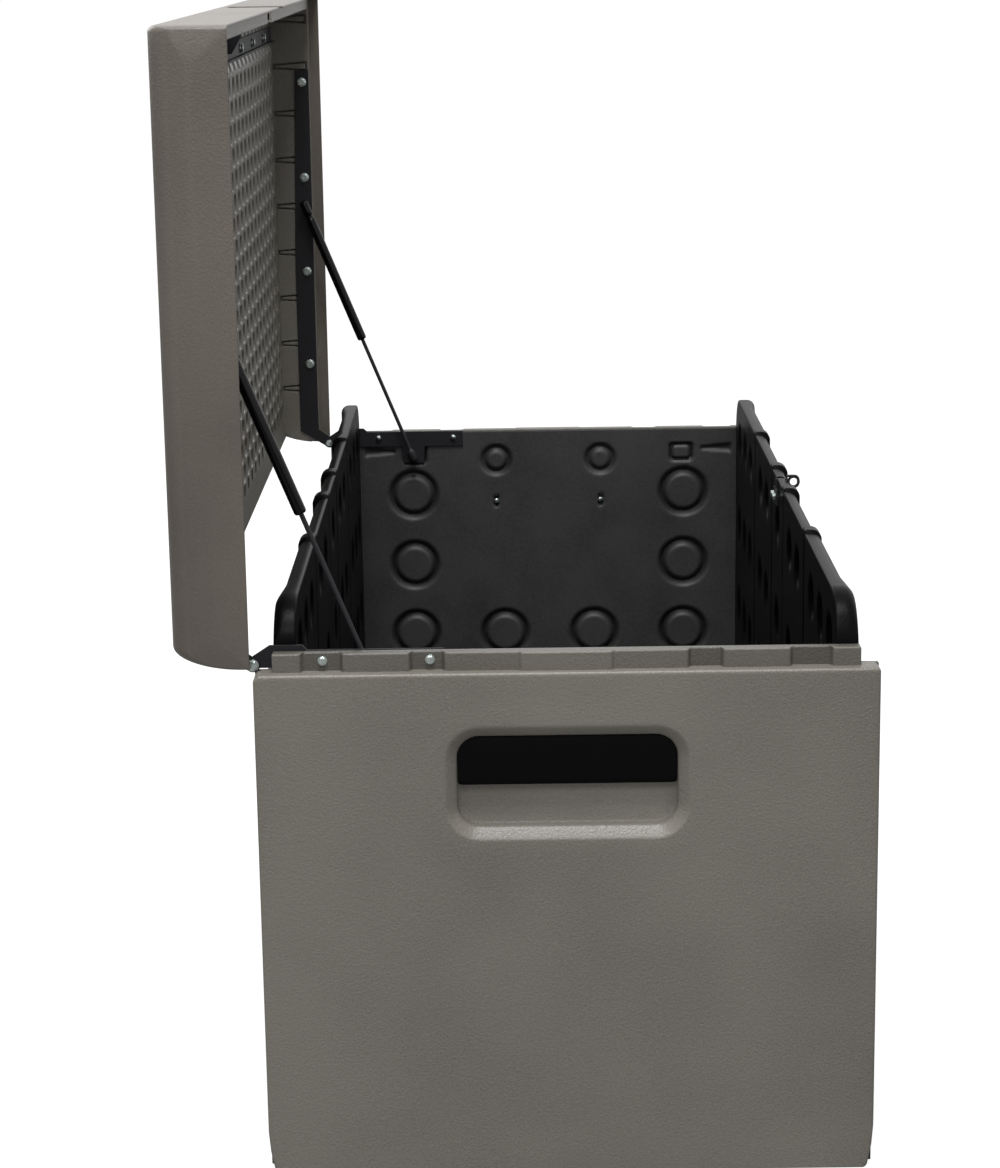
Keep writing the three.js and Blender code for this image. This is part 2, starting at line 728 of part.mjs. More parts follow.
// Section of the lid: upright front with a small corner, flat top and elliptical rear
function lidSection(inset, bottom) {
  const front = -lidDepth + inset;
  const top = lidTop - inset;
  const corner = Math.max(lidFrontCorner - inset, fit);
  const shape = new THREE.Shape();
  shape.moveTo(front, bottom);
  shape.lineTo(-inset, bottom);
  shape.lineTo(-inset, lidTop - lidRearCurveRise);
  shape.absellipse(
    -lidRearCurve, lidTop - lidRearCurveRise,
    lidRearCurve - inset, lidRearCurveRise - inset, 0, Math.PI / 2,
  );
  shape.absarc(front + corner, top - corner, corner, Math.PI / 2, Math.PI);
  return shape;
}

function padlockNotch() {
  const top = padlockNotchRise;
  const half = padlockNotchWidth / 2;
  const shape = new THREE.Shape();
  shape.moveTo(-half, lidEdge - overrun);
  shape.lineTo(half, lidEdge - overrun);
  const corner = padlockNotchCorner;
  shape.absarc(half - corner, top - corner, corner, 0, Math.PI / 2);
  shape.absarc(-half + corner, top - corner, corner, Math.PI / 2, Math.PI);
  return prismY(shape, -lidDepth - overrun, -lidDepth + lidFrontWall + sheet);
}

function lidShell() {
  const end = halfLength + lidOverhang;
  const body = cut(
    prismX(lidSection(0, lidEdge), -end, end, panelEdge),
    prismX(lidSection(sheet, lidEdge - overrun * 3), -end + sheet, end - sheet),
  );
  const notches = [-1, 1].map((side) => {
    const ends = [
      side * (bracketInner - boltTail), side * (armOuter + boltHeadHeight + fit * 2),
    ].sort((a, b) => a - b);
    return box(...ends, -sheet - overrun, overrun, -overrun, hingeNotchRise);
  });
  const rearOpening = box(-lidInnerEnd, lidInnerEnd, -lidRearCurve, overrun, -overrun, lidRim);
  return toGeometry(cut(body, rearOpening, padlockNotch(), ...notches));
}

// A tapered pocket of an end skirt, wide at the ledge and narrow at the ceiling
function dart(y, grow, depth) {
  const bottom = lidSheetFoot + sheet - grow;
  const top = bottom + dartLength + 2 * grow;
  const shape = polygon([
    [y - dartWide / 2 - grow, bottom],
    [y + dartWide / 2 + grow, bottom],
    [y + dartNarrow / 2 + grow, top],
    [y - dartNarrow / 2 - grow, top],
  ]);
  return [-1, 1].map((side) => {
    const ends = [side * (lidInnerEnd - overrun), side * (lidInnerEnd + depth)].sort((a, b) => a - b);
    return prismX(shape, ...ends);
  });
}

function lidLiner() {
  const outerEnd = halfLength + lidOverhang - sheet - fit;
  const front = -lidDepth + lidFrontWall;
  const inside = prismX(lidSection(sheet + fit, lidEdge), -outerEnd, outerEnd);
  const tray = inside.intersect(box(
    -lidInnerEnd - sheet, lidInnerEnd + sheet, front - sheet, 0, lidSheetFoot, lidCeiling + sheet,
  ));
  const flange = inside.intersect(box(
    -outerEnd, outerEnd, -lidDepth, 0, lidSheetFoot, lidSheetFoot + sheet,
  ));
  const hollow = prismX(polygon([
    [front, lidSheetFoot - overrun],
    [overrun, lidSheetFoot - overrun],
    [overrun, lidRim],
    [-lidRimFoot, lidRim],
    [-lidRimSlope, lidCeiling],
    [front, lidCeiling],
  ]), -lidInnerEnd, lidInnerEnd);
  const bosses = [];
  const pockets = [];
  const channelPitch = (-channelRearMargin - lockBarY) / (channelRows - 1);
  const half = (channelPitch * channelShare) / 2;
  const channelEnd = lidInnerEnd - channelMargin;
  for (let i = 0; i < channelRows; i += 1) {
    const y = lockBarY + channelPitch * (i - 1 / 2);
    bosses.push(box(
      -channelEnd - sheet,
      channelEnd + sheet,
      y - half - sheet / 2,
      y + half + sheet / 2,
      lidCeiling + sheet / 2,
      lidSheetTop,
    ));
    pockets.push(box(-channelEnd, channelEnd, y - half, y + half, lidCeiling - overrun, lidSheetTop - sheet));
  }
  ceilingBoltPlaces().forEach(([x, y]) => {
    bosses.push(box(
      x - ceilingBoss, x + ceilingBoss, y - ceilingBoss, y + ceilingBoss, lidCeiling + sheet / 2, lidSheetTop,
    ));
  });
  for (let i = 0; i < dartCount; i += 1) {
    const y = front + dartLast - ((front + dartLast + dartFirst) * i) / (dartCount - 1);
    bosses.push(...dart(y, sheet / 2, dartDepth + sheet));
    pockets.push(...dart(y, 0, dartDepth));
  }
  const holes = armBoltPlaces().flatMap(([y, z]) => [-1, 1].map((side) => {
    const far = lidInnerEnd + dartDepth + sheet * 2;
    const ends = [side * (armInner - overrun), side * far].sort((a, b) => a - b);
    return rodX(boltRadius + fit, ...ends, y, z, boltSteps);
  }));
  ceilingBoltPlaces().forEach(([x, y]) => {
    holes.push(rodZ(boltRadius + fit, lidCeiling - overrun, lidSheetTop - sheet / 2, x, y, boltSteps));
  });
  const body = cut(join(tray, flange, ...bosses).intersect(inside), hollow);
  return toGeometry(cut(
    body, ...pockets, ...holes, padlockNotch(),
  ));
}

// Steel arm that carries the lid, with its tail at the hinge axis
function armBoltPlaces() {
  const places = [];
  const pitch = (armLength - armBoltEnd - armBoltFirst) / (armBolts - 1);
  for (let i = 0; i < armBolts; i += 1) {
    places.push([-armBoltFirst - pitch * i, armRise + armNarrow / 2]);
  }
  return places;
}

function lidArm() {
  const end = -armLength;
  const k = knuckleRadius;
  const diagonal = k * Math.SQRT1_2;
  const shape = new THREE.Shape();
  shape.moveTo(end, armRise);
  shape.lineTo(-(ledge + pivotBehind) + overrun, armRise);
  shape.lineTo(-diagonal, -diagonal);
  shape.absarc(0, 0, k, -Math.PI * 0.75, Math.PI * 0.25);
  shape.lineTo(-heelLength, armRise + armWide);
  shape.lineTo(end * 0.5, armRise + armWide);
  shape.lineTo(end, armRise + armNarrow);
  const holes = armBoltPlaces().map(([y, z]) => (
    rodX(boltRadius + fit, armInner - overrun, armOuter + overrun, y, z, boltSteps)
  ));
  holes.push(rodX(boltRadius + fit, armInner - overrun, armOuter + overrun, 0, 0, smallRingSteps));
  return toGeometry(cut(prismX(shape, armInner, armOuter), ...holes));
}

// A hexagon bolt along X with its head at one face and its nut behind another
function boltX(headFace, headSide, tailFace, y, z) {
  const headEnd = headFace + headSide * boltHeadHeight;
  const tailEnd = tailFace - headSide * boltTail;
  const nutEnd = tailFace - headSide * boltHeadHeight;
  const span = (a, b) => (a < b ? [a, b] : [b, a]);
  return toGeometry(join(
    rodX(boltHeadRadius, ...span(headFace, headEnd), y, z, boltSteps),
    rodX(boltRadius, ...span(headFace + headSide * fit, tailEnd), y, z, boltSteps),
    rodX(nutRadius, ...span(tailFace, nutEnd), y, z, boltSteps),
  ));
}

// A screw that holds ironwork to the lid's ceiling, in a blind hole of the inner sheet
function ceilingBolt(x, y) {
  const headFace = lidCeiling - plate - 2 * fit;
  return toGeometry(join(
    rodZ(boltHeadRadius, headFace - boltHeadHeight, headFace, x, y, boltSteps),
    rodZ(boltRadius, headFace - fit, lidSheetTop - sheet, x, y, boltSteps),
  ));
}

// Body bracket: strip on the lip, tab for the strut and knuckle at the hinge axis
function hingeBracket() {
  const top = lipTop;
  const bottom = lipTop - bracketHeight;
  const rearTop = pivotZ + bracketRearRise;
  const rearStart = pivotY - bracketRearLength;
  const k = knuckleRadius;
  const shape = new THREE.Shape();
  shape.moveTo(bracketFront, bottom);
  shape.lineTo(tabMiddle - tabWidth / 2, bottom);
  shape.lineTo(tabMiddle - tabWidth / 2 + overrun, bottom - tabDrop);
  shape.lineTo(tabMiddle + tabWidth / 2 - overrun, bottom - tabDrop);
  shape.lineTo(tabMiddle + tabWidth / 2, bottom);
  shape.lineTo(sideInner - overrun * 2, bottom);
  shape.lineTo(sideInner + overrun * 3, shoulderHeight + fit * 3);
  shape.lineTo(pivotY - k, shoulderHeight + fit * 3);
  shape.absarc(pivotY, pivotZ, k, -Math.PI * 0.75, Math.PI * 0.25);
  shape.lineTo(pivotY - heelLength, rearTop);
  shape.lineTo(rearStart, rearTop);
  shape.lineTo(rearStart - (rearTop - top), top);
  shape.lineTo(bracketFront, top);
  const holes = lipBoltYs.map((y) => (
    rodX(boltRadius + fit, bracketInner - overrun, bracketOuter + overrun, y, lipBoltZ, boltSteps)
  ));
  holes.push(rodX(
    boltRadius + fit, bracketInner - overrun, bracketOuter + overrun, pivotY, pivotZ, smallRingSteps,
  ));
  holes.push(rodX(
    studNeckRadius + fit, bracketInner - overrun, bracketOuter + overrun,
    tabMiddle, pivotZ - lowerStudDrop, smallRingSteps,
  ));
  return toGeometry(cut(prismX(shape, bracketInner, bracketOuter), ...holes));
}

// Gas strut, in the frame of its lower ball centre, with its length along Z

const strutX = halfLength - strutInset;
const openUpper = [upperStudRise, upperStudForward]; // from the hinge axis, lid open
const lowerBall = [-lowerStudBehind, -lowerStudDrop];
const strutSpan = [openUpper[0] - lowerBall[0], openUpper[1] - lowerBall[1]];
const strutLength = Math.hypot(...strutSpan);
const strutLean = Math.atan2(strutSpan[0], strutSpan[1]);
const cylinderFoot = strutLength - socketLength - cylinderLength;

function socket(z0, z1, centre) {
  const reach = socketRadius + overrun;
  return cut(
    rodZ(socketRadius, z0, z1, 0, 0, smallRingSteps),
    rodX(ballRadius + boreClearance, -ballRadius, reach, 0, centre, smallRingSteps),
  );
}

function strutRod() {
  const shaft = rodZ(rodRadius, lowerSocketLength - overrun, cylinderFoot + rodInside, 0, 0, smallRingSteps);
  return toGeometry(join(socket(-socketRadius, lowerSocketLength, 0), shaft));
}

function strutCylinder() {
  const top = strutLength - socketLength;
  const tube = cut(
    rodZ(cylinderRadius, cylinderFoot, top, 0, 0),
    rodZ(rodRadius + boreClearance, cylinderFoot - overrun, top - sheet, 0, 0, smallRingSteps),
  );
  const neck = rodZ(rodRadius, top - overrun, strutLength - socketRadius, 0, 0, smallRingSteps);
  const eye = socket(strutLength - socketRadius * 1.5, strutLength + socketRadius, strutLength);
  return toGeometry(join(tube, neck, eye));
}

// A ball stud along X: ball, neck and hexagon collar against a plate face
function ballStud(face, tail) {
  const ball = toSolid(new THREE.SphereGeometry(ballRadius, smallRingSteps, boltSteps));
  const parts = [
    ball,
    rodX(studNeckRadius, 0, face, 0, 0, smallRingSteps),
    rodX(studCollarRadius, face - studCollarLength, face, 0, 0, boltSteps),
  ];
  if (tail > 0) {
    const nutFace = face + plate + 2 * fit;
    parts.push(
      rodX(studNeckRadius, face - fit, nutFace + tail, 0, 0, smallRingSteps),
      rodX(studNutRadius, nutFace, nutFace + tail - studEndProud, 0, 0, boltSteps),
    );
  }
  return toGeometry(join(...parts));
}

// Lock: an eye on the front wall, and a plate and a bar inside the lid

function padlockEye() {
  const face = -(sideInner - fit);
  const ringY = -(raisedOuter + eyeReach);
  const ringZ = raisedTop - eyeDrop;
  const [[, boltLevel]] = eyeBoltPlaces();
  const base = box(
    -eyeBaseWidth / 2, eyeBaseWidth / 2, face, face + plate,
    boltLevel - eyeBaseHeight / 2, boltLevel + eyeBaseHeight / 2,
  );
  const tongue = box(
    -plate / 2, plate / 2, ringY, face + plate,
    ringZ - eyeRadius, ringZ + eyeRadius / 2,
  );
  const ring = rodX(eyeRadius, -plate / 2, plate / 2, ringY, ringZ);
  const hole = rodX(eyeHoleRadius, -plate, plate, ringY, ringZ, smallRingSteps);
  const holes = eyeBoltPlaces().map(([x, z]) => (
    rodY(boltRadius + fit, face - overrun, face + plate + overrun, x, z, boltSteps)
  ));
  return toGeometry(cut(join(base, tongue, ring), hole, ...holes));
}

function eyeBolt([x, z]) {
  const inside = -(sideInner - fit) + plate + fit;
  const outside = -(raisedOuter + fit);
  return toGeometry(join(
    rodY(nutRadius, inside, inside + boltHeadHeight, x, z, boltSteps),
    rodY(boltRadius, outside - boltHeadHeight / 2, inside + fit, x, z, boltSteps),
    rodY(nutRadius, outside - boltHeadHeight / 2, outside, x, z, boltSteps),
  ));
}

const lockBarY = -lidDepth + lockBarSetback;
const haspFront = -lidDepth + lidFrontWall + overrun;

function lockBarBoltXs() {
  return lockBarBoltShares.map((share) => share * lidInnerEnd);
}

function haspBoltPlaces() {
  const y = haspFront + boltHeadRadius;
  return [[-haspPlateWidth / 3, y], [haspPlateWidth / 3, y]];
}

function ceilingBoltPlaces() {
  return [...lockBarBoltXs().map((x) => [x, lockBarY]), ...haspBoltPlaces()];
}

function lockBar() {
  const top = lidCeiling - fit;
  const half = lidInnerEnd - plate * 2 - boltHeadHeight - fit;
  const inner = haspPlateWidth / 2 + fit;
  const flat = box(-half, half, lockBarY - lockBarWidth / 2, lockBarY + lockBarWidth / 2, top - plate, top);
  const lipped = box(
    -half, half, lockBarY + lockBarWidth / 2 - plate, lockBarY + lockBarWidth / 2, top - plate * 3, top,
  );
  const holes = lockBarBoltXs().map((x) => (
    rodZ(boltRadius + fit, top - plate * 4, top + overrun, x, lockBarY, boltSteps)
  ));
  const gap = box(
    -inner, inner, lockBarY - lockBarWidth, haspFront + haspPlateDepth + fit, top - plate * 4, top + overrun,
  );
  return toGeometry(cut(join(flat, lipped), gap, ...holes));
}

function haspPlate() {
  const top = lidCeiling - fit;
  const flat = box(
    -haspPlateWidth / 2, haspPlateWidth / 2, haspFront, haspFront + haspPlateDepth, top - plate, top,
  );
  const ringY = -(pivotY + raisedOuter + eyeReach);
  const ringZ = raisedTop - eyeDrop - pivotZ;
  const x = plate / 2 + fit * 2;
  const tongue = prismX(polygon([
    [ringY, ringZ - eyeRadius],
    [ringY + eyeRadius, ringZ - eyeRadius],
    [ringY + haspTongue, top - plate * 3],
    [ringY + haspTongue, top - plate / 2],
    [ringY - eyeRadius, top - plate / 2],
    [ringY - eyeRadius, ringZ],
  ]), x, x + plate);
  const ring = rodX(eyeRadius, x, x + plate, ringY, ringZ);
  const hole = rodX(eyeHoleRadius, x - overrun, x + plate + overrun, ringY, ringZ, smallRingSteps);
  const holes = haspBoltPlaces().map(([boltX0, boltY0]) => (
    rodZ(boltRadius + fit, top - plate * 2, top + overrun, boltX0, boltY0, boltSteps)
  ));
  return toGeometry(cut(join(flat, tongue, ring), hole, ...holes));
}

// The whole box

function piece(name, geometry, look, parent) {
  const mesh = new THREE.Mesh(geometry, new THREE.MeshStandardMaterial(look));
  mesh.name = name;
  parent.add(mesh);
  return mesh;
}

// Adds a right-hand piece and its mirror image at the left end
function pair(name, geometry, look, parent) {
  piece(`right_${name}`, geometry, look, parent);
  piece(`left_${name}`, mirrored(geometry, 'x'), look, parent);
}

const group = new THREE.Group();
const lid = new THREE.Group();
lid.position.set(0, pivotY, pivotZ);
lid.rotation.x = -THREE.MathUtils.degToRad(lidOpenAngle);
group.add(lid);

piece('floor_panel', floorPanel(), black, group);
pair('end_skin', endSkin(), taupe, group);
pair('end_liner', endLiner(), black, group);
pair('grip', endGrip(), black, group);
pair('grip_screw_front', gripScrew(-gripScrewColumn), zinc, group);
pair('grip_screw_rear', gripScrew(gripScrewColumn), zinc, group);
piece('rear_skin', sideSkin(), taupe, group);
piece('rear_liner', sideLiner(true), black, group);
piece('front_skin', mirrored(sideSkin(), 'y'), taupe, group);
piece('front_liner', mirrored(sideLiner(false), 'y'), black, group);

pair('hinge_bracket', hingeBracket(), blackSteel, group);
pair('pivot_bolt', boltX(armOuter + fit, 1, bracketInner - fit, pivotY, pivotZ), zinc, group);
lipBoltYs.forEach((y, i) => {
  pair(`lip_bolt_${i + 1}`, boltX(lipRecess + fit, 1, bracketInner - fit, y, lipBoltZ), zinc, group);
});

piece('padlock_eye', padlockEye(), blackSteel, group);
eyeBoltPlaces().forEach((place, i) => {
  piece(`eye_bolt_${i + 1}`, eyeBolt(place), zinc, group);
});

piece('lid_shell', lidShell(), taupe, lid);
piece('lid_liner', lidLiner(), taupe, lid);
pair('lid_arm', lidArm(), blackSteel, lid);
armBoltPlaces().forEach(([y, z], i) => {
  pair(`arm_bolt_${i + 1}`, boltX(armInner - fit, -1, lidInnerEnd + sheet + fit, y, z), zinc, lid);
});
piece('lock_bar', lockBar(), blackSteel, lid);
piece('hasp_plate', haspPlate(), blackSteel, lid);
lockBarBoltXs().forEach((x, i) => {
  piece(`bar_bolt_${i + 1}`, ceilingBolt(x, lockBarY), zinc, lid);
});
haspBoltPlaces().forEach(([x, y], i) => {
  piece(`hasp_bolt_${i + 1}`, ceilingBolt(x, y), zinc, lid);
});

const strutTransform = new THREE.Matrix4()
  .makeRotationX(-strutLean)
  .setPosition(strutX, pivotY + lowerBall[0], pivotZ + lowerBall[1]);
pair('strut_rod', strutRod().applyMatrix4(strutTransform), blackSteel, group);
pair('strut_cylinder', strutCylinder().applyMatrix4(strutTransform), blackSteel, group);
pair(
  'lower_stud',
  ballStud(bracketInner - fit - strutX, studCollarLength)
    .translate(strutX, pivotY + lowerBall[0], pivotZ + lowerBall[1]),
  zinc,
  group,
);
pair(
  'upper_stud',
  ballStud(armInner - fit - strutX, 0).translate(strutX, pivotY + openUpper[0], pivotZ + openUpper[1]),
  zinc,
  group,
);

export default group;
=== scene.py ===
import bpy
import json
import math
import numpy as np
from mathutils import Matrix, Vector


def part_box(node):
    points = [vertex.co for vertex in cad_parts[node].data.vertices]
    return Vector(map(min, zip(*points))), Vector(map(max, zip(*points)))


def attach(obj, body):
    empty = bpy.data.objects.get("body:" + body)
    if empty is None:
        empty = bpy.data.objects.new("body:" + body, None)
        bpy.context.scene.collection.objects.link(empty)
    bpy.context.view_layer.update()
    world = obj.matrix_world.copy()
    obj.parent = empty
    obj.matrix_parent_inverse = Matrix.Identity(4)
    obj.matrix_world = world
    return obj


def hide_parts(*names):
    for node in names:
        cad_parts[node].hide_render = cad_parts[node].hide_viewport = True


# Garden storage box, dressed over its CAD frame. Metres; X along the box, -Y the front, +Z up.
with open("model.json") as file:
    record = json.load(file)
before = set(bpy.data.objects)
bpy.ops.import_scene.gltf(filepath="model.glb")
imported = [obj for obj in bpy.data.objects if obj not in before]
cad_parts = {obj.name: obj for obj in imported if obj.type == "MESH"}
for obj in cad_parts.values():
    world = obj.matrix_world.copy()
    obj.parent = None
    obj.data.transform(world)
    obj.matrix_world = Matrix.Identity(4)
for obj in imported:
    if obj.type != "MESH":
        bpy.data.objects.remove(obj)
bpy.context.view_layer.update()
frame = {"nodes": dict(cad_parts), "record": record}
nodes = frame["nodes"]
bodyOf = {n: body for body, names in frame["record"]["behaviour"]["bodies"].items() for n in names}
slotOf = {s["node"]: s["material_slot"] for s in frame["record"]["subparts"]}
mm = 0.001
print("frame loaded:", len(nodes), "nodes")


def linearColour(hexText, alpha=1.0):
    # sRGB hex to linear: straight line below 0.04045, a power of 2.4 above
    values = [int(hexText[i:i + 2], 16) / 255 for i in (1, 3, 5)]
    linear = [v / 12.92 if v <= 0.04045 else ((v + 0.055) / 1.055) ** 2.4 for v in values]
    return (*linear, alpha)


def addNode(tree, kind, settings=None, links=None):
    # one node with its attributes or input values, and the sockets that feed it
    made = tree.nodes.new(kind)
    for key, value in (settings or {}).items():
        if isinstance(key, int) or key in made.inputs:
            made.inputs[key].default_value = value
        else:
            setattr(made, key, value)
    for key, socket in (links or {}).items():
        tree.links.new(socket, made.inputs[key])
    return made


def newMaterial(name):
    # a bare shader joined to its output
    material = bpy.data.materials.new(name)
    material.use_nodes = True
    tree = material.node_tree
    tree.nodes.clear()
    shader = addNode(tree, "ShaderNodeBsdfPrincipled")
    output = addNode(tree, "ShaderNodeOutputMaterial")
    tree.links.new(shader.outputs[0], output.inputs["Surface"])
    return material, tree, shader


# Camera, solved from the photograph's edges: height, pitch and lens are those of the photo
view = {
    "place": (-3.89062, 0.05882, 1.4622),
    "yaw": 0.00545,
    "pitch": 0.22974,
    "roll": -0.01473,
    "focalPixels": 2788.62,
    "pictureHeight": 1168,
    "sensor": 36,
    "farthest": 100,
}


def placeCamera(v):
    # forward from yaw and pitch, then right and up turned about it by the roll
    forward = Vector((
        math.cos(v["pitch"]) * math.cos(v["yaw"]),
        math.cos(v["pitch"]) * math.sin(v["yaw"]),
        -math.sin(v["pitch"]),
    ))
    right = Vector((math.sin(v["yaw"]), -math.cos(v["yaw"]), 0))
    up = right.cross(forward)
    turn = Matrix.Rotation(-v["roll"], 3, forward)
    right = turn @ right
    up = turn @ up
    camera = bpy.data.objects.new("photo_camera", bpy.data.cameras.new("photo_camera"))
    camera.matrix_world = Matrix((
        (right.x, up.x, -forward.x, v["place"][0]),
        (right.y, up.y, -forward.y, v["place"][1]),
        (right.z, up.z, -forward.z, v["place"][2]),
        (0, 0, 0, 1),
    ))
    camera.data.sensor_width = v["sensor"]
    camera.data.lens = v["focalPixels"] / v["pictureHeight"] * v["sensor"]
    camera.data.clip_end = v["farthest"]
    bpy.context.collection.objects.link(camera)
    bpy.context.scene.camera = camera


placeCamera(view)
print("camera placed")

# Studio: white air, a white floor that keeps the shadow, and wide soft lamps
studio = {
    "air": 0.32,
    "floor": "#9c9c9c",
    "floorGlow": 0.86,
    "floorRoughness": 0.9,
    "floorHalf": 40.0,
    "lamps": [
        {"name": "high_soft", "place": (-1.9, 0.1, 5.5), "size": 1.8, "power": 185},
        {"name": "end_soft", "place": (-4.0, 0.5, 3.6), "size": 1.4, "power": 50},
        {"name": "back_soft", "place": (3.0, 3.5, 3.5), "size": 3.0, "power": 70},
    ],
    "aim": (0, 0, 0.5),
}


def whiteWhereSeen(tree, hidden, shown):
    # camera, mirror and see-through rays meet the shown shader, the light meets the hidden one
    rays = addNode(tree, "ShaderNodeLightPath")
    gloss = addNode(tree, "ShaderNodeMath", {"operation": "MAXIMUM"})
    tree.links.new(rays.outputs["Is Glossy Ray"], gloss.inputs[0])
    tree.links.new(rays.outputs["Is Transmission Ray"], gloss.inputs[1])
    seen = addNode(tree, "ShaderNodeMath", {"operation": "MAXIMUM"}, {0: gloss.outputs[0]})
    tree.links.new(rays.outputs["Is Camera Ray"], seen.inputs[1])
    mix = addNode(tree, "ShaderNodeMixShader", links={0: seen.outputs[0]})
    tree.links.new(hidden, mix.inputs[1])
    tree.links.new(shown, mix.inputs[2])
    return mix.outputs[0]


def buildStudio(s):
    # the air gives an even fill, the floor glows only for the camera, and each lamp looks at the same point
    world = bpy.data.worlds.new("studio_air")
    world.use_nodes = True
    tree = world.node_tree
    tree.nodes.clear()
    light = addNode(tree, "ShaderNodeBackground", {"Color": (1, 1, 1, 1), "Strength": s["air"]})
    white = addNode(tree, "ShaderNodeBackground", {"Color": (1, 1, 1, 1), "Strength": 1.0})
    out = addNode(tree, "ShaderNodeOutputWorld")
    tree.links.new(whiteWhereSeen(tree, light.outputs[0], white.outputs[0]), out.inputs["Surface"])
    bpy.context.scene.world = world

    half = s["floorHalf"]
    mesh = bpy.data.meshes.new("studio_floor")
    corners = [(-half, -half, 0), (half, -half, 0), (half, half, 0), (-half, half, 0)]
    mesh.from_pydata(corners, [], [(0, 1, 2, 3)])
    floor = bpy.data.objects.new("studio_floor", mesh)
    bpy.context.collection.objects.link(floor)
    material, tree, shader = newMaterial("white_floor_paint")
    shader.inputs["Base Color"].default_value = linearColour(s["floor"])
    shader.inputs["Roughness"].default_value = s["floorRoughness"]
    shader.inputs["Emission Color"].default_value = (1, 1, 1, 1)
    rays = addNode(tree, "ShaderNodeLightPath")
    glow = addNode(tree, "ShaderNodeMath", {"operation": "MULTIPLY", 1: s["floorGlow"]})
    tree.links.new(rays.outputs["Is Camera Ray"], glow.inputs[0])
    tree.links.new(glow.outputs[0], shader.inputs["Emission Strength"])
    mesh.materials.append(material)

    for lamp in s["lamps"]:
        data = bpy.data.lights.new(lamp["name"], "AREA")
        data.size = lamp["size"]
        data.energy = lamp["power"]
        made = bpy.data.objects.new(lamp["name"], data)
        made.location = lamp["place"]
        aim = Vector(s["aim"]) - Vector(lamp["place"])
        made.rotation_euler = aim.to_track_quat("-Z", "Y").to_euler()
        made.visible_camera = False
        bpy.context.collection.objects.link(made)


buildStudio(studio)
bpy.context.scene.view_settings.view_transform = "Standard"
print("studio built")


def texturedPlastic(name, p):
    # moulded polyolefin with a spark-eroded grain: matt pebbles that catch small points of light in the sheen.
    # The real grain is about 1 mm wide and is drawn two to three times as coarse, so that it shows.
    # Painted shade: sunken places, marked by a per-point attribute, turn toward a darker recess colour.
    material, tree, shader = newMaterial(name)
    place = addNode(tree, "ShaderNodeTexCoord").outputs["Object"]
    pebbles = addNode(
        tree, "ShaderNodeTexVoronoi", {"Scale": 1 / p["pebble"], "feature": "SMOOTH_F1"}, {"Vector": place},
    )
    grain = addNode(
        tree, "ShaderNodeTexNoise",
        {"Scale": 1 / p["grain"], "Detail": 2.0, "Roughness": 0.6}, {"Vector": place},
    )
    cloud = addNode(
        tree, "ShaderNodeTexNoise", {"Scale": 1 / p["cloud"], "Detail": 2.0}, {"Vector": place},
    )
    mottle = addNode(
        tree, "ShaderNodeMath", {"operation": "MULTIPLY_ADD", 1: p["speckle"]}, {0: grain.outputs[0]},
    )
    tree.links.new(cloud.outputs[0], mottle.inputs[2])
    tone = addNode(tree, "ShaderNodeMix", {"data_type": "RGBA"}, {0: mottle.outputs[0]})
    tone.inputs[6].default_value = linearColour(p["dark"])
    tone.inputs[7].default_value = linearColour(p["light"])
    # painted shade: the per-point attribute mixes the colour toward the dark recess colour
    sunk = addNode(tree, "ShaderNodeAttribute", {"attribute_name": "painted_recess_shade"})
    shaded = addNode(
        tree, "ShaderNodeMix", {"data_type": "RGBA"}, {0: sunk.outputs["Fac"], 6: tone.outputs[2]},
    )
    shaded.inputs[7].default_value = linearColour(p["painted_recess_shade"])
    tree.links.new(shaded.outputs[2], shader.inputs["Base Color"])
    relief = addNode(
        tree, "ShaderNodeMath", {"operation": "ADD"}, {0: pebbles.outputs["Distance"], 1: grain.outputs[0]},
    )
    softEdges = addNode(tree, "ShaderNodeBevel", {"samples": 4, "Radius": p["edge"]})
    bump = addNode(
        tree, "ShaderNodeBump", {"Strength": p["bump"], "Distance": p["relief"]},
        {"Height": relief.outputs[0], "Normal": softEdges.outputs[0]},
    )
    tree.links.new(bump.outputs[0], shader.inputs["Normal"])
    shader.inputs["Roughness"].default_value = p["roughness"]
    shader.inputs["Specular IOR Level"].default_value = p["gloss"]
    return material


taupePlastic = texturedPlastic("taupe_polypropylene_grained", {
    "dark": "#5a564f", "light": "#817d75", "painted_recess_shade": "#35322e", "pebble": 2.6 * mm, "grain": 2.6 * mm,
    "cloud": 240 * mm, "speckle": 0.75, "relief": 0.5 * mm, "bump": 0.7,
    "roughness": 0.37, "gloss": 0.5, "edge": 2.0 * mm,
})
# A darker, warmer copy of the taupe for the lid's outer sheet, which is the same plastic as the box: its
# darkness is painted shade
shadedLidPlastic = texturedPlastic("taupe_polypropylene_lid_painted_shade", {
    "dark": "#4c4640", "light": "#736c64", "painted_recess_shade": "#35322e", "pebble": 2.6 * mm, "grain": 2.6 * mm,
    "cloud": 200 * mm, "speckle": 0.5, "relief": 0.4 * mm, "bump": 0.5,
    "roughness": 0.31, "gloss": 0.5, "edge": 2.0 * mm,
})
# A lighter copy of the taupe for the lid's ceiling: painted sheen, standing in for the grazing reflection on
# its ridges
sheenLitPressedPlastic = texturedPlastic("taupe_polypropylene_pressed_sheet_painted_sheen", {
    "dark": "#726e65", "light": "#8b867d", "painted_recess_shade": "#2b2926", "pebble": 2.6 * mm, "grain": 2.6 * mm,
    "cloud": 240 * mm, "speckle": 0.3, "relief": 0.3 * mm, "bump": 0.4,
    "roughness": 0.3, "gloss": 0.6, "edge": 1.5 * mm,
})
blackPlastic = texturedPlastic("black_polyethylene_grained", {
    "dark": "#040404", "light": "#0a0a0b", "painted_recess_shade": "#030303", "pebble": 3.0 * mm, "grain": 2.3 * mm,
    "cloud": 200 * mm, "speckle": 0.4, "relief": 0.4 * mm, "bump": 0.35,
    "roughness": 0.34, "gloss": 0.06, "edge": 2.5 * mm,
})
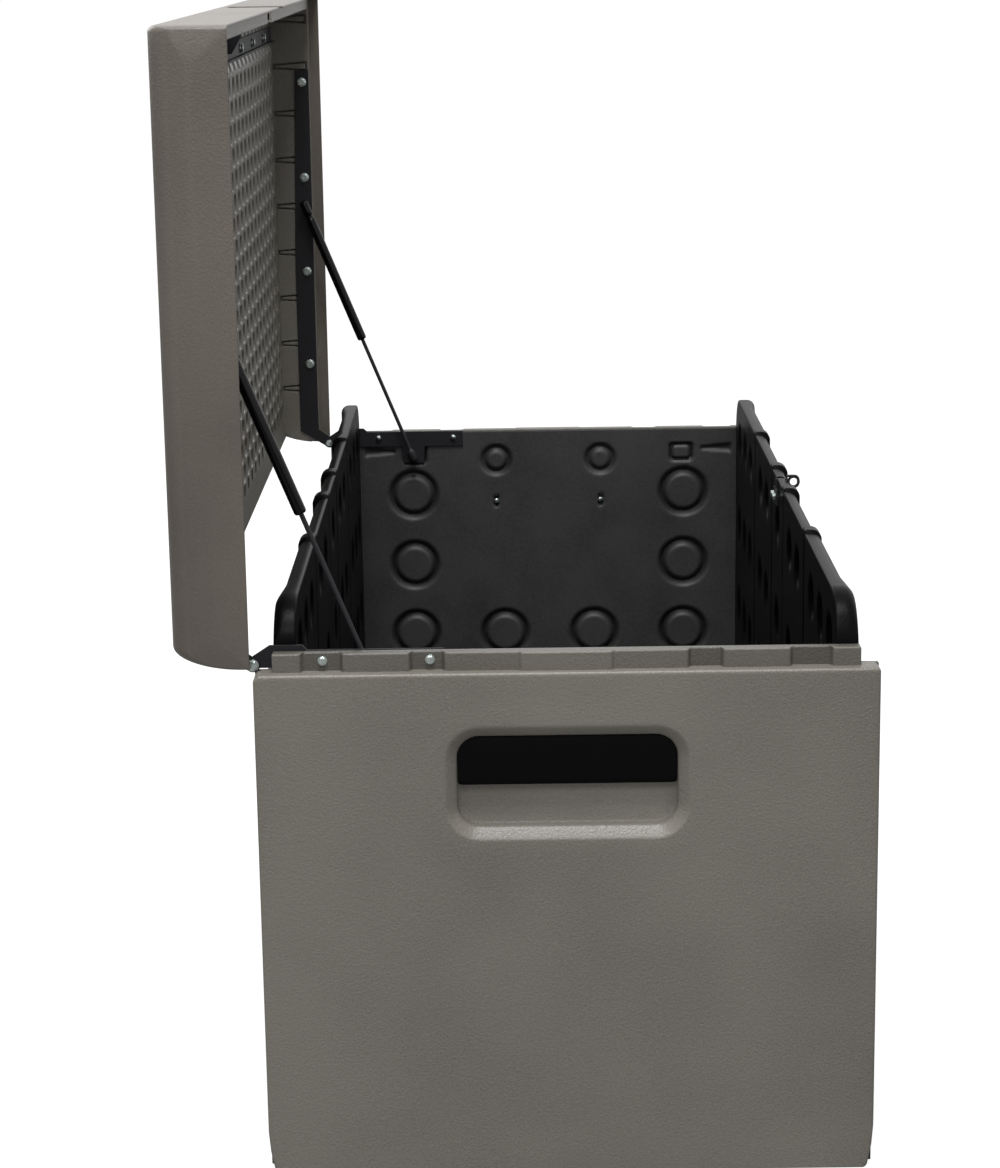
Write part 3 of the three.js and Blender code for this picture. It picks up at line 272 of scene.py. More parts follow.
mattBlackPlastic = texturedPlastic("black_polyethylene_matt_sheet", {
    "dark": "#161616", "light": "#3f3f3f", "painted_recess_shade": "#060606", "pebble": 3.4 * mm, "grain": 5 * mm,
    "cloud": 90 * mm, "speckle": 0.7, "relief": 0.3 * mm, "bump": 0.4,
    "roughness": 0.5, "gloss": 0.4, "edge": 2.5 * mm,
})
gripPlastic = texturedPlastic("black_polyamide_smooth", {
    "dark": "#040404", "light": "#080809", "painted_recess_shade": "#020202", "pebble": 3.0 * mm, "grain": 2.0 * mm,
    "cloud": 80 * mm, "speckle": 0.3, "relief": 0.1 * mm, "bump": 0.3,
    "roughness": 0.6, "gloss": 0.06, "edge": 1.5 * mm,
})


def paintedSteel(name, p):
    # cold-rolled steel with a baked powder coat: an even satin film with a faint orange peel
    material, tree, shader = newMaterial(name)
    place = addNode(tree, "ShaderNodeTexCoord").outputs["Object"]
    peel = addNode(tree, "ShaderNodeTexNoise", {"Scale": 1 / p["peel"], "Detail": 1.0}, {"Vector": place})
    tone = addNode(tree, "ShaderNodeMix", {"data_type": "RGBA"}, {0: peel.outputs[0]})
    tone.inputs[6].default_value = linearColour(p["dark"])
    tone.inputs[7].default_value = linearColour(p["light"])
    tree.links.new(tone.outputs[2], shader.inputs["Base Color"])
    softEdges = addNode(tree, "ShaderNodeBevel", {"samples": 4, "Radius": p["edge"]})
    bump = addNode(
        tree, "ShaderNodeBump", {"Strength": p["bump"], "Distance": p["relief"]},
        {"Height": peel.outputs[0], "Normal": softEdges.outputs[0]},
    )
    tree.links.new(bump.outputs[0], shader.inputs["Normal"])
    shader.inputs["Roughness"].default_value = p["roughness"]
    shader.inputs["Specular IOR Level"].default_value = p["gloss"]
    shader.inputs["Coat Weight"].default_value = p["coat"]
    shader.inputs["Coat Roughness"].default_value = p["coatRoughness"]
    return material


blackSteel = paintedSteel("black_powder_coated_steel", {
    "dark": "#1e1e21", "light": "#27272b", "peel": 2.5 * mm, "relief": 0.08 * mm, "bump": 0.4,
    "roughness": 0.5, "gloss": 0.25, "coat": 0.0, "coatRoughness": 0.1, "edge": 0.8 * mm,
})
strutPaint = paintedSteel("black_gloss_lacquered_tube", {
    "dark": "#030304", "light": "#060607", "peel": 6 * mm, "relief": 0.02 * mm, "bump": 0.2,
    "roughness": 0.2, "gloss": 0.12, "coat": 0.15, "coatRoughness": 0.06, "edge": 0.4 * mm,
})


def zincPlate(name, p):
    # electroplated zinc on steel: bright grey metal, slightly mottled and clouded by its passivation
    material, tree, shader = newMaterial(name)
    place = addNode(tree, "ShaderNodeTexCoord").outputs["Object"]
    mottle = addNode(tree, "ShaderNodeTexNoise", {"Scale": 1 / p["mottle"], "Detail": 3.0}, {"Vector": place})
    tone = addNode(tree, "ShaderNodeMix", {"data_type": "RGBA"}, {0: mottle.outputs[0]})
    tone.inputs[6].default_value = linearColour(p["dark"])
    tone.inputs[7].default_value = linearColour(p["light"])
    tree.links.new(tone.outputs[2], shader.inputs["Base Color"])
    matt = addNode(
        tree, "ShaderNodeMapRange",
        {"To Min": p["smooth"], "To Max": p["rough"]}, {"Value": mottle.outputs[0]},
    )
    tree.links.new(matt.outputs[0], shader.inputs["Roughness"])
    softEdges = addNode(tree, "ShaderNodeBevel", {"samples": 4, "Radius": p["edge"]})
    tree.links.new(softEdges.outputs[0], shader.inputs["Normal"])
    shader.inputs["Metallic"].default_value = 1.0
    return material


zinc = zincPlate("zinc_plated_steel", {
    "dark": "#b2bdb9", "light": "#d3dcd8", "mottle": 3 * mm, "smooth": 0.2, "rough": 0.38, "edge": 0.4 * mm,
})

finishes = {
    "taupe_plastic": taupePlastic,
    "black_plastic": blackPlastic,
    "black_steel": blackSteel,
    "zinc": zinc,
}
for name, node in nodes.items():
    node.data.materials.clear()
    node.data.materials.append(finishes[slotOf[name]])
print("finishes given to", len(nodes), "nodes")


def sweptPiece(name, rings, stands, material=None, crisp=42, painted_recess_shade=None):
    # rings of points, one row a ring: each quad joins two neighbours of two rings, the end rings are filled.
    # The faces are turned round if the six-fold volume summed over them comes out negative.
    # Edges whose faces meet at more than the crisp angle, in degrees, stay sharp.
    count, around = rings.shape[:2]
    points = rings.reshape(-1, 3)
    ring = np.arange(around)
    following = (ring + 1) % around
    start = (np.arange(count - 1) * around)[:, None]
    quads = np.stack([start + ring, start + following, start + around + following, start + around + ring], 2)
    quads = quads.reshape(-1, 4)
    a, b, c, d = (points[quads[:, k]] for k in range(4))
    volume = np.einsum("ij,ij->i", a, np.cross(b, c)).sum() + np.einsum("ij,ij->i", a, np.cross(c, d)).sum()
    first = ring[::-1].copy()
    last = ring + (count - 1) * around
    for cap in (first, last):
        fan = points[cap]
        volume += np.einsum("j,ij->i", fan[0], np.cross(fan[1:-1], fan[2:])).sum()
    if volume < 0:
        quads, first, last = quads[:, ::-1], first[::-1], last[::-1]
    corners = np.concatenate([quads.ravel(), first, last]).astype(np.int32)
    starts = np.concatenate([np.arange(len(quads)) * 4, [quads.size, quads.size + around]]).astype(np.int32)

    mesh = bpy.data.meshes.new(name)
    mesh.vertices.add(len(points))
    mesh.vertices.foreach_set("co", points.ravel().astype(np.float32))
    mesh.loops.add(len(corners))
    mesh.loops.foreach_set("vertex_index", corners)
    mesh.polygons.add(len(starts))
    mesh.polygons.foreach_set("loop_start", starts)
    mesh.update(calc_edges=True)
    mesh.validate()
    mesh.shade_smooth()
    mesh.set_sharp_from_angle(angle=math.radians(crisp))
    # painted shade: an optional per-point darkening, which the materials mix into the colour
    if painted_recess_shade is not None:
        shade = mesh.attributes.new("painted_recess_shade", "FLOAT", "POINT")
        shade.data.foreach_set("value", painted_recess_shade.ravel().astype(np.float32))
    piece = bpy.data.objects.new(name, mesh)
    bpy.context.collection.objects.link(piece)
    mesh.materials.append(material or finishes[slotOf[stands]])
    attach(piece, bodyOf[stands])
    return piece


def step(value, low, high):
    # soft step: 0 below low, 1 above high, three squares less two cubes between
    t = np.clip((value - low) / (high - low), 0, 1)
    return t * t * (3 - 2 * t)


def mound(distance, inner, outer):
    # 1 inside the inner distance, 0 past the outer one, with a soft slope between
    return 1 - step(distance, inner, outer)


def lines(*spans):
    # grid lines along one direction: each span is from, to and the most that two lines may be apart
    parts = [np.linspace(a, b, max(2, int(math.ceil(abs(b - a) / gap)) + 1)) for a, b, gap in spans]
    return np.unique(np.round(np.concatenate(parts), 4))


def rectDistance(u, v, halfU, halfV, corner):
    # signed distance to a rounded rectangle about the origin, negative inside
    du = np.abs(u) - (halfU - corner)
    dv = np.abs(v) - (halfV - corner)
    outside = np.hypot(np.maximum(du, 0), np.maximum(dv, 0))
    return outside + np.minimum(np.maximum(du, dv), 0) - corner


def wave(u, v, w):
    # the faint unevenness of a moulded sheet: a product of two sines, from 0 to twice its height
    shiftU, shiftV = w["shifts"]
    return w["height"] * (np.sin(u / w["first"] + shiftU) * np.sin(v / w["second"] + shiftV) + 1)


# End panels' inner sheets: soft ring dimples, rounded-square pockets, tapered pockets and keyholes
endSheet = {
    "face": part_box("left_end_liner")[1].x / mm,
    "halfWidth": 364.9, "lipHalf": 342.8, "shoulder": 625, "top": 645, "grid": 2.8, "backShare": 6,
    "back": 10.4, "cupBack": 7.1, "cup": (150, 415, 566),
    "rings": {"outer": 44.5, "inner": 26.5, "depth": 9, "slope": 9},
    "ringPlaces": [(227.5, 538.5), (227.5, 417), (227.5, 296), (227.5, 174.5), (75.8, 296), (75.8, 174.5)],
    "smallRings": {"outer": 28.5, "inner": 12.5, "depth": 7, "slope": 7.5, "y": 87.5, "z": 596},
    "keyhole": {"y": 87.85, "z": 525.5, "half": 4.6, "halfTall": 11, "depth": 6.2, "slope": 2},
    "square": {"y": 224, "z": 606, "half": 21.5, "halfTall": 16.5, "corner": 8, "depth": 8, "slope": 3.4},
    "squareCore": {"half": 13, "halfTall": 9.5, "corner": 4},
    "taper": {"from": 256, "to": 308, "z": 612, "wide": 8, "narrow": 3, "depth": 5, "slope": 3, "fade": 0.5},
    "shadeDepth": 9, "shade": 0.85, "ledge": 0.2,
    "wave": {"height": 0.35, "first": 150 / 2.3, "second": 75, "shifts": (1, 0.4)},
}


def endSheetDepth(y, z, s):
    # sum of soft plateaus: rings between two radii, rounded rectangles and tapered slots, all sunk in +depth
    depth = wave(y, z, s["wave"])
    r = s["rings"]
    for ringY, ringZ in s["ringPlaces"]:
        far = np.hypot(np.abs(y) - ringY, z - ringZ)
        depth = depth + r["depth"] * step(far, r["inner"], r["inner"] + r["slope"]) * mound(
            far, r["outer"] - r["slope"], r["outer"])
    q = s["smallRings"]
    far = np.hypot(np.abs(y) - q["y"], z - q["z"])
    depth = depth + q["depth"] * step(far, q["inner"], q["inner"] + q["slope"]) * mound(
        far, q["outer"] - q["slope"], q["outer"])
    k = s["keyhole"]
    edge = rectDistance(np.abs(y) - k["y"], z - k["z"], k["half"], k["halfTall"], k["half"])
    depth = depth + k["depth"] * mound(edge, -k["slope"], 0)
    p = s["square"]
    edge = rectDistance(np.abs(y) - p["y"], z - p["z"], p["half"], p["halfTall"], p["corner"])
    pocket = p["depth"] * mound(edge, -p["slope"], 0)
    c = s["squareCore"]
    core = rectDistance(np.abs(y) - p["y"], z - p["z"], c["half"], c["halfTall"], c["corner"])
    pocket = np.where(y < 0, pocket * step(core, 0, p["slope"]), pocket)
    depth = depth + pocket
    t = s["taper"]
    share = np.clip((np.abs(y) - t["from"]) / (t["to"] - t["from"]), 0, 1)
    half = t["narrow"] + (t["wide"] - t["narrow"]) * share
    along = np.maximum(t["from"] - np.abs(y), np.abs(y) - t["to"])
    edge = np.maximum(np.abs(z - t["z"]) - half, along)
    return depth + t["depth"] * mound(edge, -t["slope"], t["fade"])


def endSheetPiece(sign, node, s):
    # each ring runs across the visible face and back along the hidden one; the rings climb from ground to lip
    y = lines((-s["halfWidth"], s["halfWidth"], s["grid"]))
    z = lines((0, s["shoulder"] - s["ledge"], s["grid"]), (s["shoulder"], s["top"], s["grid"]))
    ring = np.concatenate([y, y[::s["backShare"]][::-1]])
    gridY, gridZ = np.meshgrid(ring, z)
    reach = np.where(gridZ < s["shoulder"] - s["ledge"] / 2, s["halfWidth"], s["lipHalf"])
    gridY = np.clip(gridY, -reach, reach)
    gridX = abs(s["face"]) + endSheetDepth(gridY, gridZ, s)
    half, low, high = s["cup"]
    behindCup = (np.abs(gridY) < half) & (gridZ > low) & (gridZ < high)
    back = abs(s["face"]) + np.where(behindCup, s["cupBack"], s["back"])
    gridX[:, len(y):] = back[:, len(y):]
    points = np.stack([sign * gridX, gridY, gridZ], 2) * mm
    # painted shade: the deeper a point is sunk, the further its colour turns toward the dark recess colour
    shade = np.clip(endSheetDepth(gridY, gridZ, s) / s["shadeDepth"], 0, 1) ** 2 * s["shade"]
    piece = sweptPiece(node + "_moulded", points, node, mattBlackPlastic, crisp=80, painted_recess_shade=shade)
    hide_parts(node)


for sign, node in ((-1, "left_end_liner"), (1, "right_end_liner")):
    endSheetPiece(sign, node, endSheet)
print("end sheets moulded")


# Long walls: inner sheet with round dimples and flutes, raised wall with cuffs, foot rim and flared ends
longWall = {
    "inner": 316, "outer": 333, "top": 702, "end": 730.7, "shoulder": 625, "grid": 4.1,
    "corner": 60, "cornerSteps": 14, "crown": 13, "crownSteps": 8, "innerEdge": 3.2, "innerSteps": 4,
    "rim": 342.7, "rimTop": 627, "rimFoot": 616, "rimSteps": 4, "rimFillet": 3, "rimBend": 1, "rimEdge": 2,
    "back": 326,
    "cuffs": [85.5, 361.7], "cuffHalf": 12, "cuffEdge": 1.6, "cuffProud": 5, "cuffRise": 4,
    "padProud": 4, "padFade": 2, "flareFrom": 602.7, "flareTo": 680.7,
    "fluteHalf": 4.5, "fluteEdge": 2.5, "fluteDepth": 2.6, "fluteFoot": (28, 36), "fluteHead": (688, 694),
    "dimples": [0, 171.7, 274, 449.4, 551.7, 654], "dimpleRows": [635, 498, 361, 224],
    "dimpleOuter": 34, "dimpleInner": 19, "dimpleDepth": 6, "plainTop": (688, 694),
    "slot": (-3, 9), "slotFoot": 686.7, "slotGap": 0.2, "notchEnd": 727.4, "notchFoot": 617,
    "wave": {"height": 0.4, "first": 100, "second": 70, "shifts": (0, 0)},
}


def wallSection(x, top, outer, w):
    # one closed ring in (y, z): up the inner face, over the crown, down to the rim and back down inside.
    # Straight runs are evenly divided, edges are circle arcs.
    turn = np.linspace(0, np.pi / 2, w["innerSteps"] + 1)
    crown = np.linspace(np.pi / 2, 0, w["crownSteps"] + 1)
    e = w["innerEdge"]
    rise = np.linspace(0, top - e, int(w["top"] / w["grid"]))
    innerY = np.concatenate([np.full(len(rise), w["inner"]), w["inner"] + e - e * np.cos(turn[1:])])
    innerZ = np.concatenate([rise, top - e + e * np.sin(turn[1:])])
    radius = w["crown"]
    crownY = outer - radius + radius * np.cos(crown)
    crownZ = top - radius + radius * np.sin(crown)
    fall = np.linspace(1, 0, w["rimSteps"] + 2)[1:-1]
    rim, rimTop, foot, back = (w[key] for key in ("rim", "rimTop", "rimFoot", "back"))
    fillet, bend, edge = w["rimFillet"], w["rimBend"], w["rimEdge"]
    fallZ = rimTop + fillet + (top - radius - rimTop - fillet) * fall
    rimY = np.array([outer, outer + bend, max(outer + fillet, rim - edge), rim, rim, back, back])
    rimZ = np.array([rimTop + fillet, rimTop + bend, rimTop, rimTop - edge, foot, foot, 0])
    ringY = np.concatenate([innerY, crownY, np.full(len(fallZ), outer), np.minimum(rimY, rim)])
    ringZ = np.concatenate([innerZ, crownZ, np.maximum(fallZ, rimTop + fillet), rimZ])
    return ringY, ringZ, len(rise)


def longWallPiece(side, node, w):
    # sections set along x: the top falls in a quarter circle at both ends and rises at the cuffs, the outside
    # swells at cuffs and pads and flares to the rim, and dimples and flutes sink the inner face
    end = w["end"]
    bend = end - w["corner"] + w["corner"] * np.sin(np.linspace(0, np.pi / 2, w["cornerSteps"]))
    stops = [c + k for c in w["cuffs"] for k in (-w["cuffHalf"] - w["cuffEdge"], -w["cuffHalf"],
                                                 w["cuffHalf"], w["cuffHalf"] + w["cuffEdge"])]
    half = np.concatenate([lines((0, end - w["corner"], w["grid"])), bend, stops])
    half = np.unique(np.round(half, 3))
    x = np.unique(np.concatenate([-half, half]))
    if side < 0:
        low, high = w["slot"]
        x = np.unique(np.concatenate([x, [low - w["slotGap"], low, high, high + w["slotGap"]]]))
    far = np.abs(x)
    top = w["top"] - w["corner"] + np.sqrt(np.maximum(
        w["corner"] ** 2 - np.maximum(far - (end - w["corner"]), 0) ** 2, 0))
    cuff = sum(mound(np.abs(far - c), w["cuffHalf"], w["cuffHalf"] + w["cuffEdge"]) for c in w["cuffs"])
    top = top + w["cuffRise"] * cuff
    pad = w["padProud"] * step(far, max(w["cuffs"]), max(w["cuffs"]) + w["padFade"])
    flare = np.clip((far - w["flareFrom"]) / (w["flareTo"] - w["flareFrom"]), 0, 1)
    flared = pad + (w["rim"] - w["outer"] - w["padProud"]) * flare
    outer = w["outer"] + np.maximum(w["cuffProud"] * cuff, flared)
    if side < 0:
        top = np.where((x >= w["slot"][0]) & (x <= w["slot"][1]), w["slotFoot"], top)
    sections = [wallSection(a, t, o, w) for a, t, o in zip(x, top, outer)]
    acrossY = np.stack([section[0] for section in sections])
    upZ = np.stack([section[1] for section in sections])
    inside = sections[0][2]
    alongX = np.repeat(x[:, None], acrossY.shape[1], 1)
    faceX, faceZ = alongX[:, :inside], upZ[:, :inside]
    sunk = wave(faceX, faceZ, w["wave"])
    for dimpleX in w["dimples"]:
        for dimpleZ in w["dimpleRows"]:
            gap = np.hypot(np.abs(faceX) - dimpleX, faceZ - dimpleZ)
            sunk = sunk + w["dimpleDepth"] * mound(gap, w["dimpleInner"], w["dimpleOuter"])
    upright = step(faceZ, *w["fluteFoot"]) * mound(faceZ, *w["fluteHead"])
    for c in w["cuffs"]:
        gap = np.abs(np.abs(faceX) - c)
        sunk = sunk + w["fluteDepth"] * upright * mound(gap, w["fluteHalf"] - w["fluteEdge"], w["fluteHalf"])
    acrossY[:, :inside] += sunk * mound(faceZ, *w["plainTop"])
    if side > 0:
        cut = (np.abs(alongX) > w["notchEnd"]) & (upZ > w["notchFoot"])
        alongX = np.where(cut, np.sign(alongX) * w["notchEnd"], alongX)
    piece = sweptPiece(node + "_moulded", np.stack([alongX, side * acrossY, upZ], 2) * mm, node)
    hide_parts(node)


for side, node in ((1, "rear_liner"), (-1, "front_liner")):
    longWallPiece(side, node, longWall)
print("long walls moulded")


# End panels' outer sheets: handhold with a rounded chamfer, flat face with a faint wave, soft outer edges
endPanel = {
    "face": 765, "back": 734.4, "half": 365, "shoulder": 625, "edge": 3.5, "edgeSteps": 5,
    "corners": (5, 9, 5, 5), "leastCorner": 0.8, "footShare": 0.2, "perSide": 26, "perCorner": 8,
    "holdHalf": 129.5, "holdTall": 55, "holdMiddle": 490.5, "holdCorner": 26, "holdBack": 740,
    "sheet": 3.4, "inside": 748,
    "lead": [(-3, 740), (0, 741.5), (0, 748), (0.2, 752), (1.2, 754), (3, 755.8), (7, 759.3), (11, 762.8),
             (12.8, 764.2), (14, 764.8), (16, 765)],
    "faceSteps": 26, "footRise": 60, "footInset": 8,
    "wave": {"height": 0.55, "first": 52, "second": 83, "shifts": (0.6, 0)}, "ripple": (0.275, 21, 64),
    "waveFrom": 749, "calmReach": 14, "calmBorder": (4, 60), "calmHold": (1, 50),
    "lip": {"inner": 734.4, "outer": 743, "half": 343, "top": 647, "edge": 1.4, "drop": 2, "rise": 4,
            "topSteps": 5, "backShare": 4, "rearInset": 0.5, "slope": 5, "grid": 1.2, "shade": (0.2, 0.6),
            "steps": [0.157, 0.417, 0.53, 0.764, 0.9], "levels": [12.5, 8.5, 0, 8.5, 0, 8.5]},
}


def roundedRing(halfWidth, low, high, corners, p):
    # one turn of a rounded rectangle in (y, z): the corners are arcs, the sides are evenly divided
    radii = np.broadcast_to(corners, 4)
    middles = [(halfWidth - radii[0], low + radii[0]), (halfWidth - radii[1], high - radii[1]),
               (-halfWidth + radii[2], high - radii[2]), (-halfWidth + radii[3], low + radii[3])]
    arcs = []
    for i, ((y, z), radius) in enumerate(zip(middles, radii)):
        turn = np.linspace(-np.pi / 2, 0, p["perCorner"]) + i * np.pi / 2
        arcs.append(np.stack([y + radius * np.cos(turn), z + radius * np.sin(turn)], 1))
    share = np.linspace(0, 1, p["perSide"])[1:-1, None]
    parts = []
    for i in range(4):
        following = arcs[(i + 1) % 4][0]
        parts += [arcs[i], arcs[i][-1] + (following - arcs[i][-1]) * share]
    return np.concatenate(parts)


def endPanelPiece(sign, node, p):
    # rings from the back of the handhold out over its chamfer, across the face, round the edge and back
    def hold(grow):
        return roundedRing(
            p["holdHalf"] + grow, p["holdMiddle"] - p["holdTall"] - grow,
            p["holdMiddle"] + p["holdTall"] + grow, p["holdCorner"] + grow, p)

    def outline(inset):
        radii = np.maximum(np.array(p["corners"]) - inset, p["leastCorner"])
        return roundedRing(p["half"] - inset, inset * p["footShare"], p["shoulder"] - inset, radii, p)

    rings = [hold(grow) for grow, depth in p["lead"]]
    depths = [depth for grow, depth in p["lead"]]
    near, far = hold(p["lead"][-1][0]), outline(p["edge"])
    for share in np.linspace(0, 1, p["faceSteps"] + 1)[1:]:
        rings.append(near + (far - near) * share)
        depths.append(p["face"])
    for turn in np.linspace(0, np.pi / 2, p["edgeSteps"])[1:]:
        rings.append(outline(p["edge"] * (1 - math.sin(turn))))
        depths.append(p["face"] - p["edge"] * (1 - math.cos(turn)))
    rings += [outline(0), outline(p["sheet"]), outline(p["sheet"]), hold(p["sheet"]), hold(p["sheet"])]
    depths += [p["back"], p["back"], p["inside"], p["inside"], p["holdBack"] - p["sheet"] / 2]
    plane = np.stack(rings)
    outX = np.repeat(np.array(depths)[:, None], plane.shape[1], 1)
    acrossY, upZ = plane[..., 0], plane[..., 1]
    border = np.minimum(p["half"] - np.abs(acrossY), np.minimum(p["shoulder"] - upZ, upZ))
    about = [p[key] + p["calmReach"] for key in ("holdHalf", "holdTall", "holdCorner")]
    inner = rectDistance(acrossY, upZ - p["holdMiddle"], *about)
    calm = step(border, *p["calmBorder"]) * step(inner, *p["calmHold"])
    height, first, second = p["ripple"]
    uneven = wave(acrossY, upZ, p["wave"]) + height * np.sin(acrossY / first + upZ / second)
    outX = outX - np.where(outX > p["waveFrom"], uneven * calm, 0)
    draw = p["footInset"] / p["half"] * (1 - np.clip(upZ / p["footRise"], 0, 1)) ** 2
    piece = sweptPiece(node + "_moulded", np.stack([sign * outX, acrossY * (1 - draw), upZ], 2) * mm, node)
    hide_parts(node)

    # stepped lip: a ring in plan with pads and recesses, climbing from the shoulder to its rounded top
    q = p["lip"]
    y = lines((-q["half"], q["half"], q["grid"]))
    share = np.abs(y) / q["half"]
    reach = np.full(len(y), float(q["levels"][0]))
    for i, place in enumerate(q["steps"]):
        soft = q["slope"] / q["half"] / 2
        reach = reach + (q["levels"][i + 1] - q["levels"][i]) * step(share, place - soft, place + soft)
    levels = [(0, p["shoulder"] - q["drop"]), (0, p["shoulder"] + q["rise"]), (0, q["top"] - 2 * q["edge"])]
    levels += [(q["edge"] * (1 - math.cos(a)), q["top"] - q["edge"] + q["edge"] * math.sin(a))
               for a in np.linspace(0, np.pi / 2, q["topSteps"])]
    back = y[::q["backShare"]][::-1]
    rings = []
    for inset, height in levels:
        shrink = 1 - inset / q["half"]
        front = np.stack([q["outer"] + reach - inset, y * shrink, np.full(len(y), height)], 1)
        rearX = np.full(len(back), q["inner"] + inset * q["rearInset"])
        rear = np.stack([rearX, back * shrink, np.full(len(back), height)], 1)
        rings.append(np.concatenate([front, rear]))
    rings = np.stack(rings) * np.array([sign, 1, 1]) * mm
    # painted shade: the whole lip's colour is darkened, the hollows between the pads more than the pads
    pale, dim = q["shade"]  # the pads stay pale and the hollows between them dim
    shade = np.append(dim + (pale - dim) * reach / max(q["levels"]), np.full(len(back), dim))
    sweptPiece(node + "_lip", rings, node, painted_recess_shade=np.repeat(shade[None], len(levels), 0))


for sign, node in ((-1, "left_end_skin"), (1, "right_end_skin")):
    endPanelPiece(sign, node, endPanel)
print("end panels moulded")


# Grips: a smooth dark bar across the top of each handhold, deep in its cup
grip = {
    "half": 128.5, "drawOver": 30,
    "stations": [(-1, 2.5), (-0.985, 0.8), (-0.96, 0), (-0.5, 0), (0, 0), (0.5, 0), (0.96, 0), (0.985, 0.8),
                 (1, 2.5)],
    "section": [(738.5, 485.6), (748, 485), (751, 486), (752.6, 488.6), (753, 493), (752.4, 515), (751, 540),
                (749, 544.8), (738.5, 545)],
}


def gripPiece(sign, node, g):
    # one section in (x, z) carried along Y, drawn in a little toward its middle at both ends
    share, draw = np.array(g["stations"]).T
    y = share * g["half"]
    section = np.array(g["section"])
    middle = section.mean(0)
    lean = section[None] - (section - middle)[None] * (draw / g["drawOver"])[:, None, None]
    points = np.stack([sign * lean[..., 0], np.repeat(y[:, None], len(section), 1), lean[..., 1]], 2) * mm
    piece = sweptPiece(node + "_moulded", points, node, gripPlastic)
    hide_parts(node)


for sign, node in ((-1, "left_grip"), (1, "right_grip")):
    gripPiece(sign, node, grip)
print("grips moulded")


# Ceiling of the lid: staggered slots in a thin pressed sheet, seen from inside. Between the lock bar and the
# rear wall it stands proud of the CAD sheet, so that its slots can be as wide as the real ones.
ceiling = {
    "axis": (367, 630), "ridge": 79.7, "proud": 4.2, "depth": 4.0, "back": 0.25,
    "front": -712, "rear": -38, "proudFront": (-661, -652), "proudRear": (-70, -60),
    "end": 733.6, "margin": 14, "marginFade": 2, "backShare": 10,
    "linesAlong": (0, 5.5, 10.5, 12.5, 14.5, 15.5, 17.5, 19.5, 24.5),
    "linesAcross": (-13.6, -11.8, -9.5, -4, 4, 9.5, 11.8, 13.6, 16),
    "rowFirst": -691, "rowPitch": 32, "rows": 21, "slotPitch": 60,
    "slotHalf": (17.5, 13.6), "smallHalf": (13, 9.6), "corner": 9, "slope": 3, "shade": 0.8,
}


def patternLines(pattern, pitch, start, low, high, clear=0.5):
    # the pattern's offsets repeated at every pitch from the start, kept between low and high, clear of both
    count = np.arange(math.floor((low - start) / pitch) - 1, math.ceil((high - start) / pitch) + 2)
    places = (start + count[:, None] * pitch + np.array(pattern)).ravel()
    kept = places[(places > low + clear) & (places < high - clear)]
    return np.unique(np.concatenate([[low], kept, [high]]))


def ceilingPiece(c):
    # height over (x, y'): ridge level, sunk inside each slot; odd rows sit half a pitch on
    x = patternLines(c["linesAlong"], c["slotPitch"] / 2, 0, -c["end"], c["end"])
    y = patternLines(c["linesAcross"], c["rowPitch"], c["rowFirst"], c["front"], c["rear"])
    ring = np.concatenate([y, y[::c["backShare"]][::-1]])
    gridY, gridX = np.meshgrid(ring, x)
    proud = step(gridY, *c["proudFront"]) * mound(gridY, *c["proudRear"])
    row = np.clip(np.round((gridY - c["rowFirst"]) / c["rowPitch"]), 0, c["rows"] - 1)
    shift = np.where(row % 2 == 0, 0, c["slotPitch"] / 2)
    alongX = (gridX - shift + c["slotPitch"] / 2) % c["slotPitch"] - c["slotPitch"] / 2
    alongY = gridY - c["rowFirst"] - row * c["rowPitch"]
    halfX, halfY = (small + (large - small) * proud for large, small in zip(c["slotHalf"], c["smallHalf"]))
    edge = rectDistance(alongX, alongY, halfX, halfY, c["corner"])
    sunk = mound(edge, -c["slope"], 0) * step(c["end"] - c["margin"] - np.abs(gridX), 0, c["marginFade"])
    ridge = c["ridge"] - c["proud"] * proud
    height = ridge + c["depth"] * sunk
    height[:, len(y):] = (ridge + c["depth"] + c["back"])[:, len(y):]
    hingeY, hingeZ = c["axis"]
    points = np.stack([gridX, hingeY + height, hingeZ - gridY], 2) * mm
    # painted shade: the slot floors are coloured darker, standing in for the shadow in these shallow slots
    sweptPiece("lid_ceiling_slots", points, "lid_liner", sheenLitPressedPlastic, painted_recess_shade=sunk * c["shade"])


ceilingPiece(ceiling)
print("lid ceiling pressed")


# Lid's outer sheet: front, roof and rolled rear in one sweep along X, with rounded and slightly crowned ends.
# Heights z' and places y' are those of the closed lid, measured from the hinge axis.
lidShell = {
    "axis": (367, 630), "front": -737, "top": 91, "foot": 1, "end": 767, "sheet": 3, "wall": 762,
    "frontCorner": 8, "leastCorner": 1, "rearCurve": (28, 82), "endRound": 22, "sideShare": 0.18,
    "crown": 3, "crownShares": (0.05, 0.12, 0.22, 0.34, 0.48, 0.64, 0.82), "spine": 46,
    "rim": 73, "innerEnd": 734.3, "hingeNotch": (739.4, 30),
    "padlockNotch": (32, 74, 10), "notchShares": (0, 0.4, 0.7, 0.9, 1), "gap": 0.2, "grid": 16,
    "frontSteps": 12, "arcSteps": 7, "roofSteps": 44, "curveSteps": 60, "rearSteps": 24,
    "wallSteps": 8, "edgeSteps": 5,
}


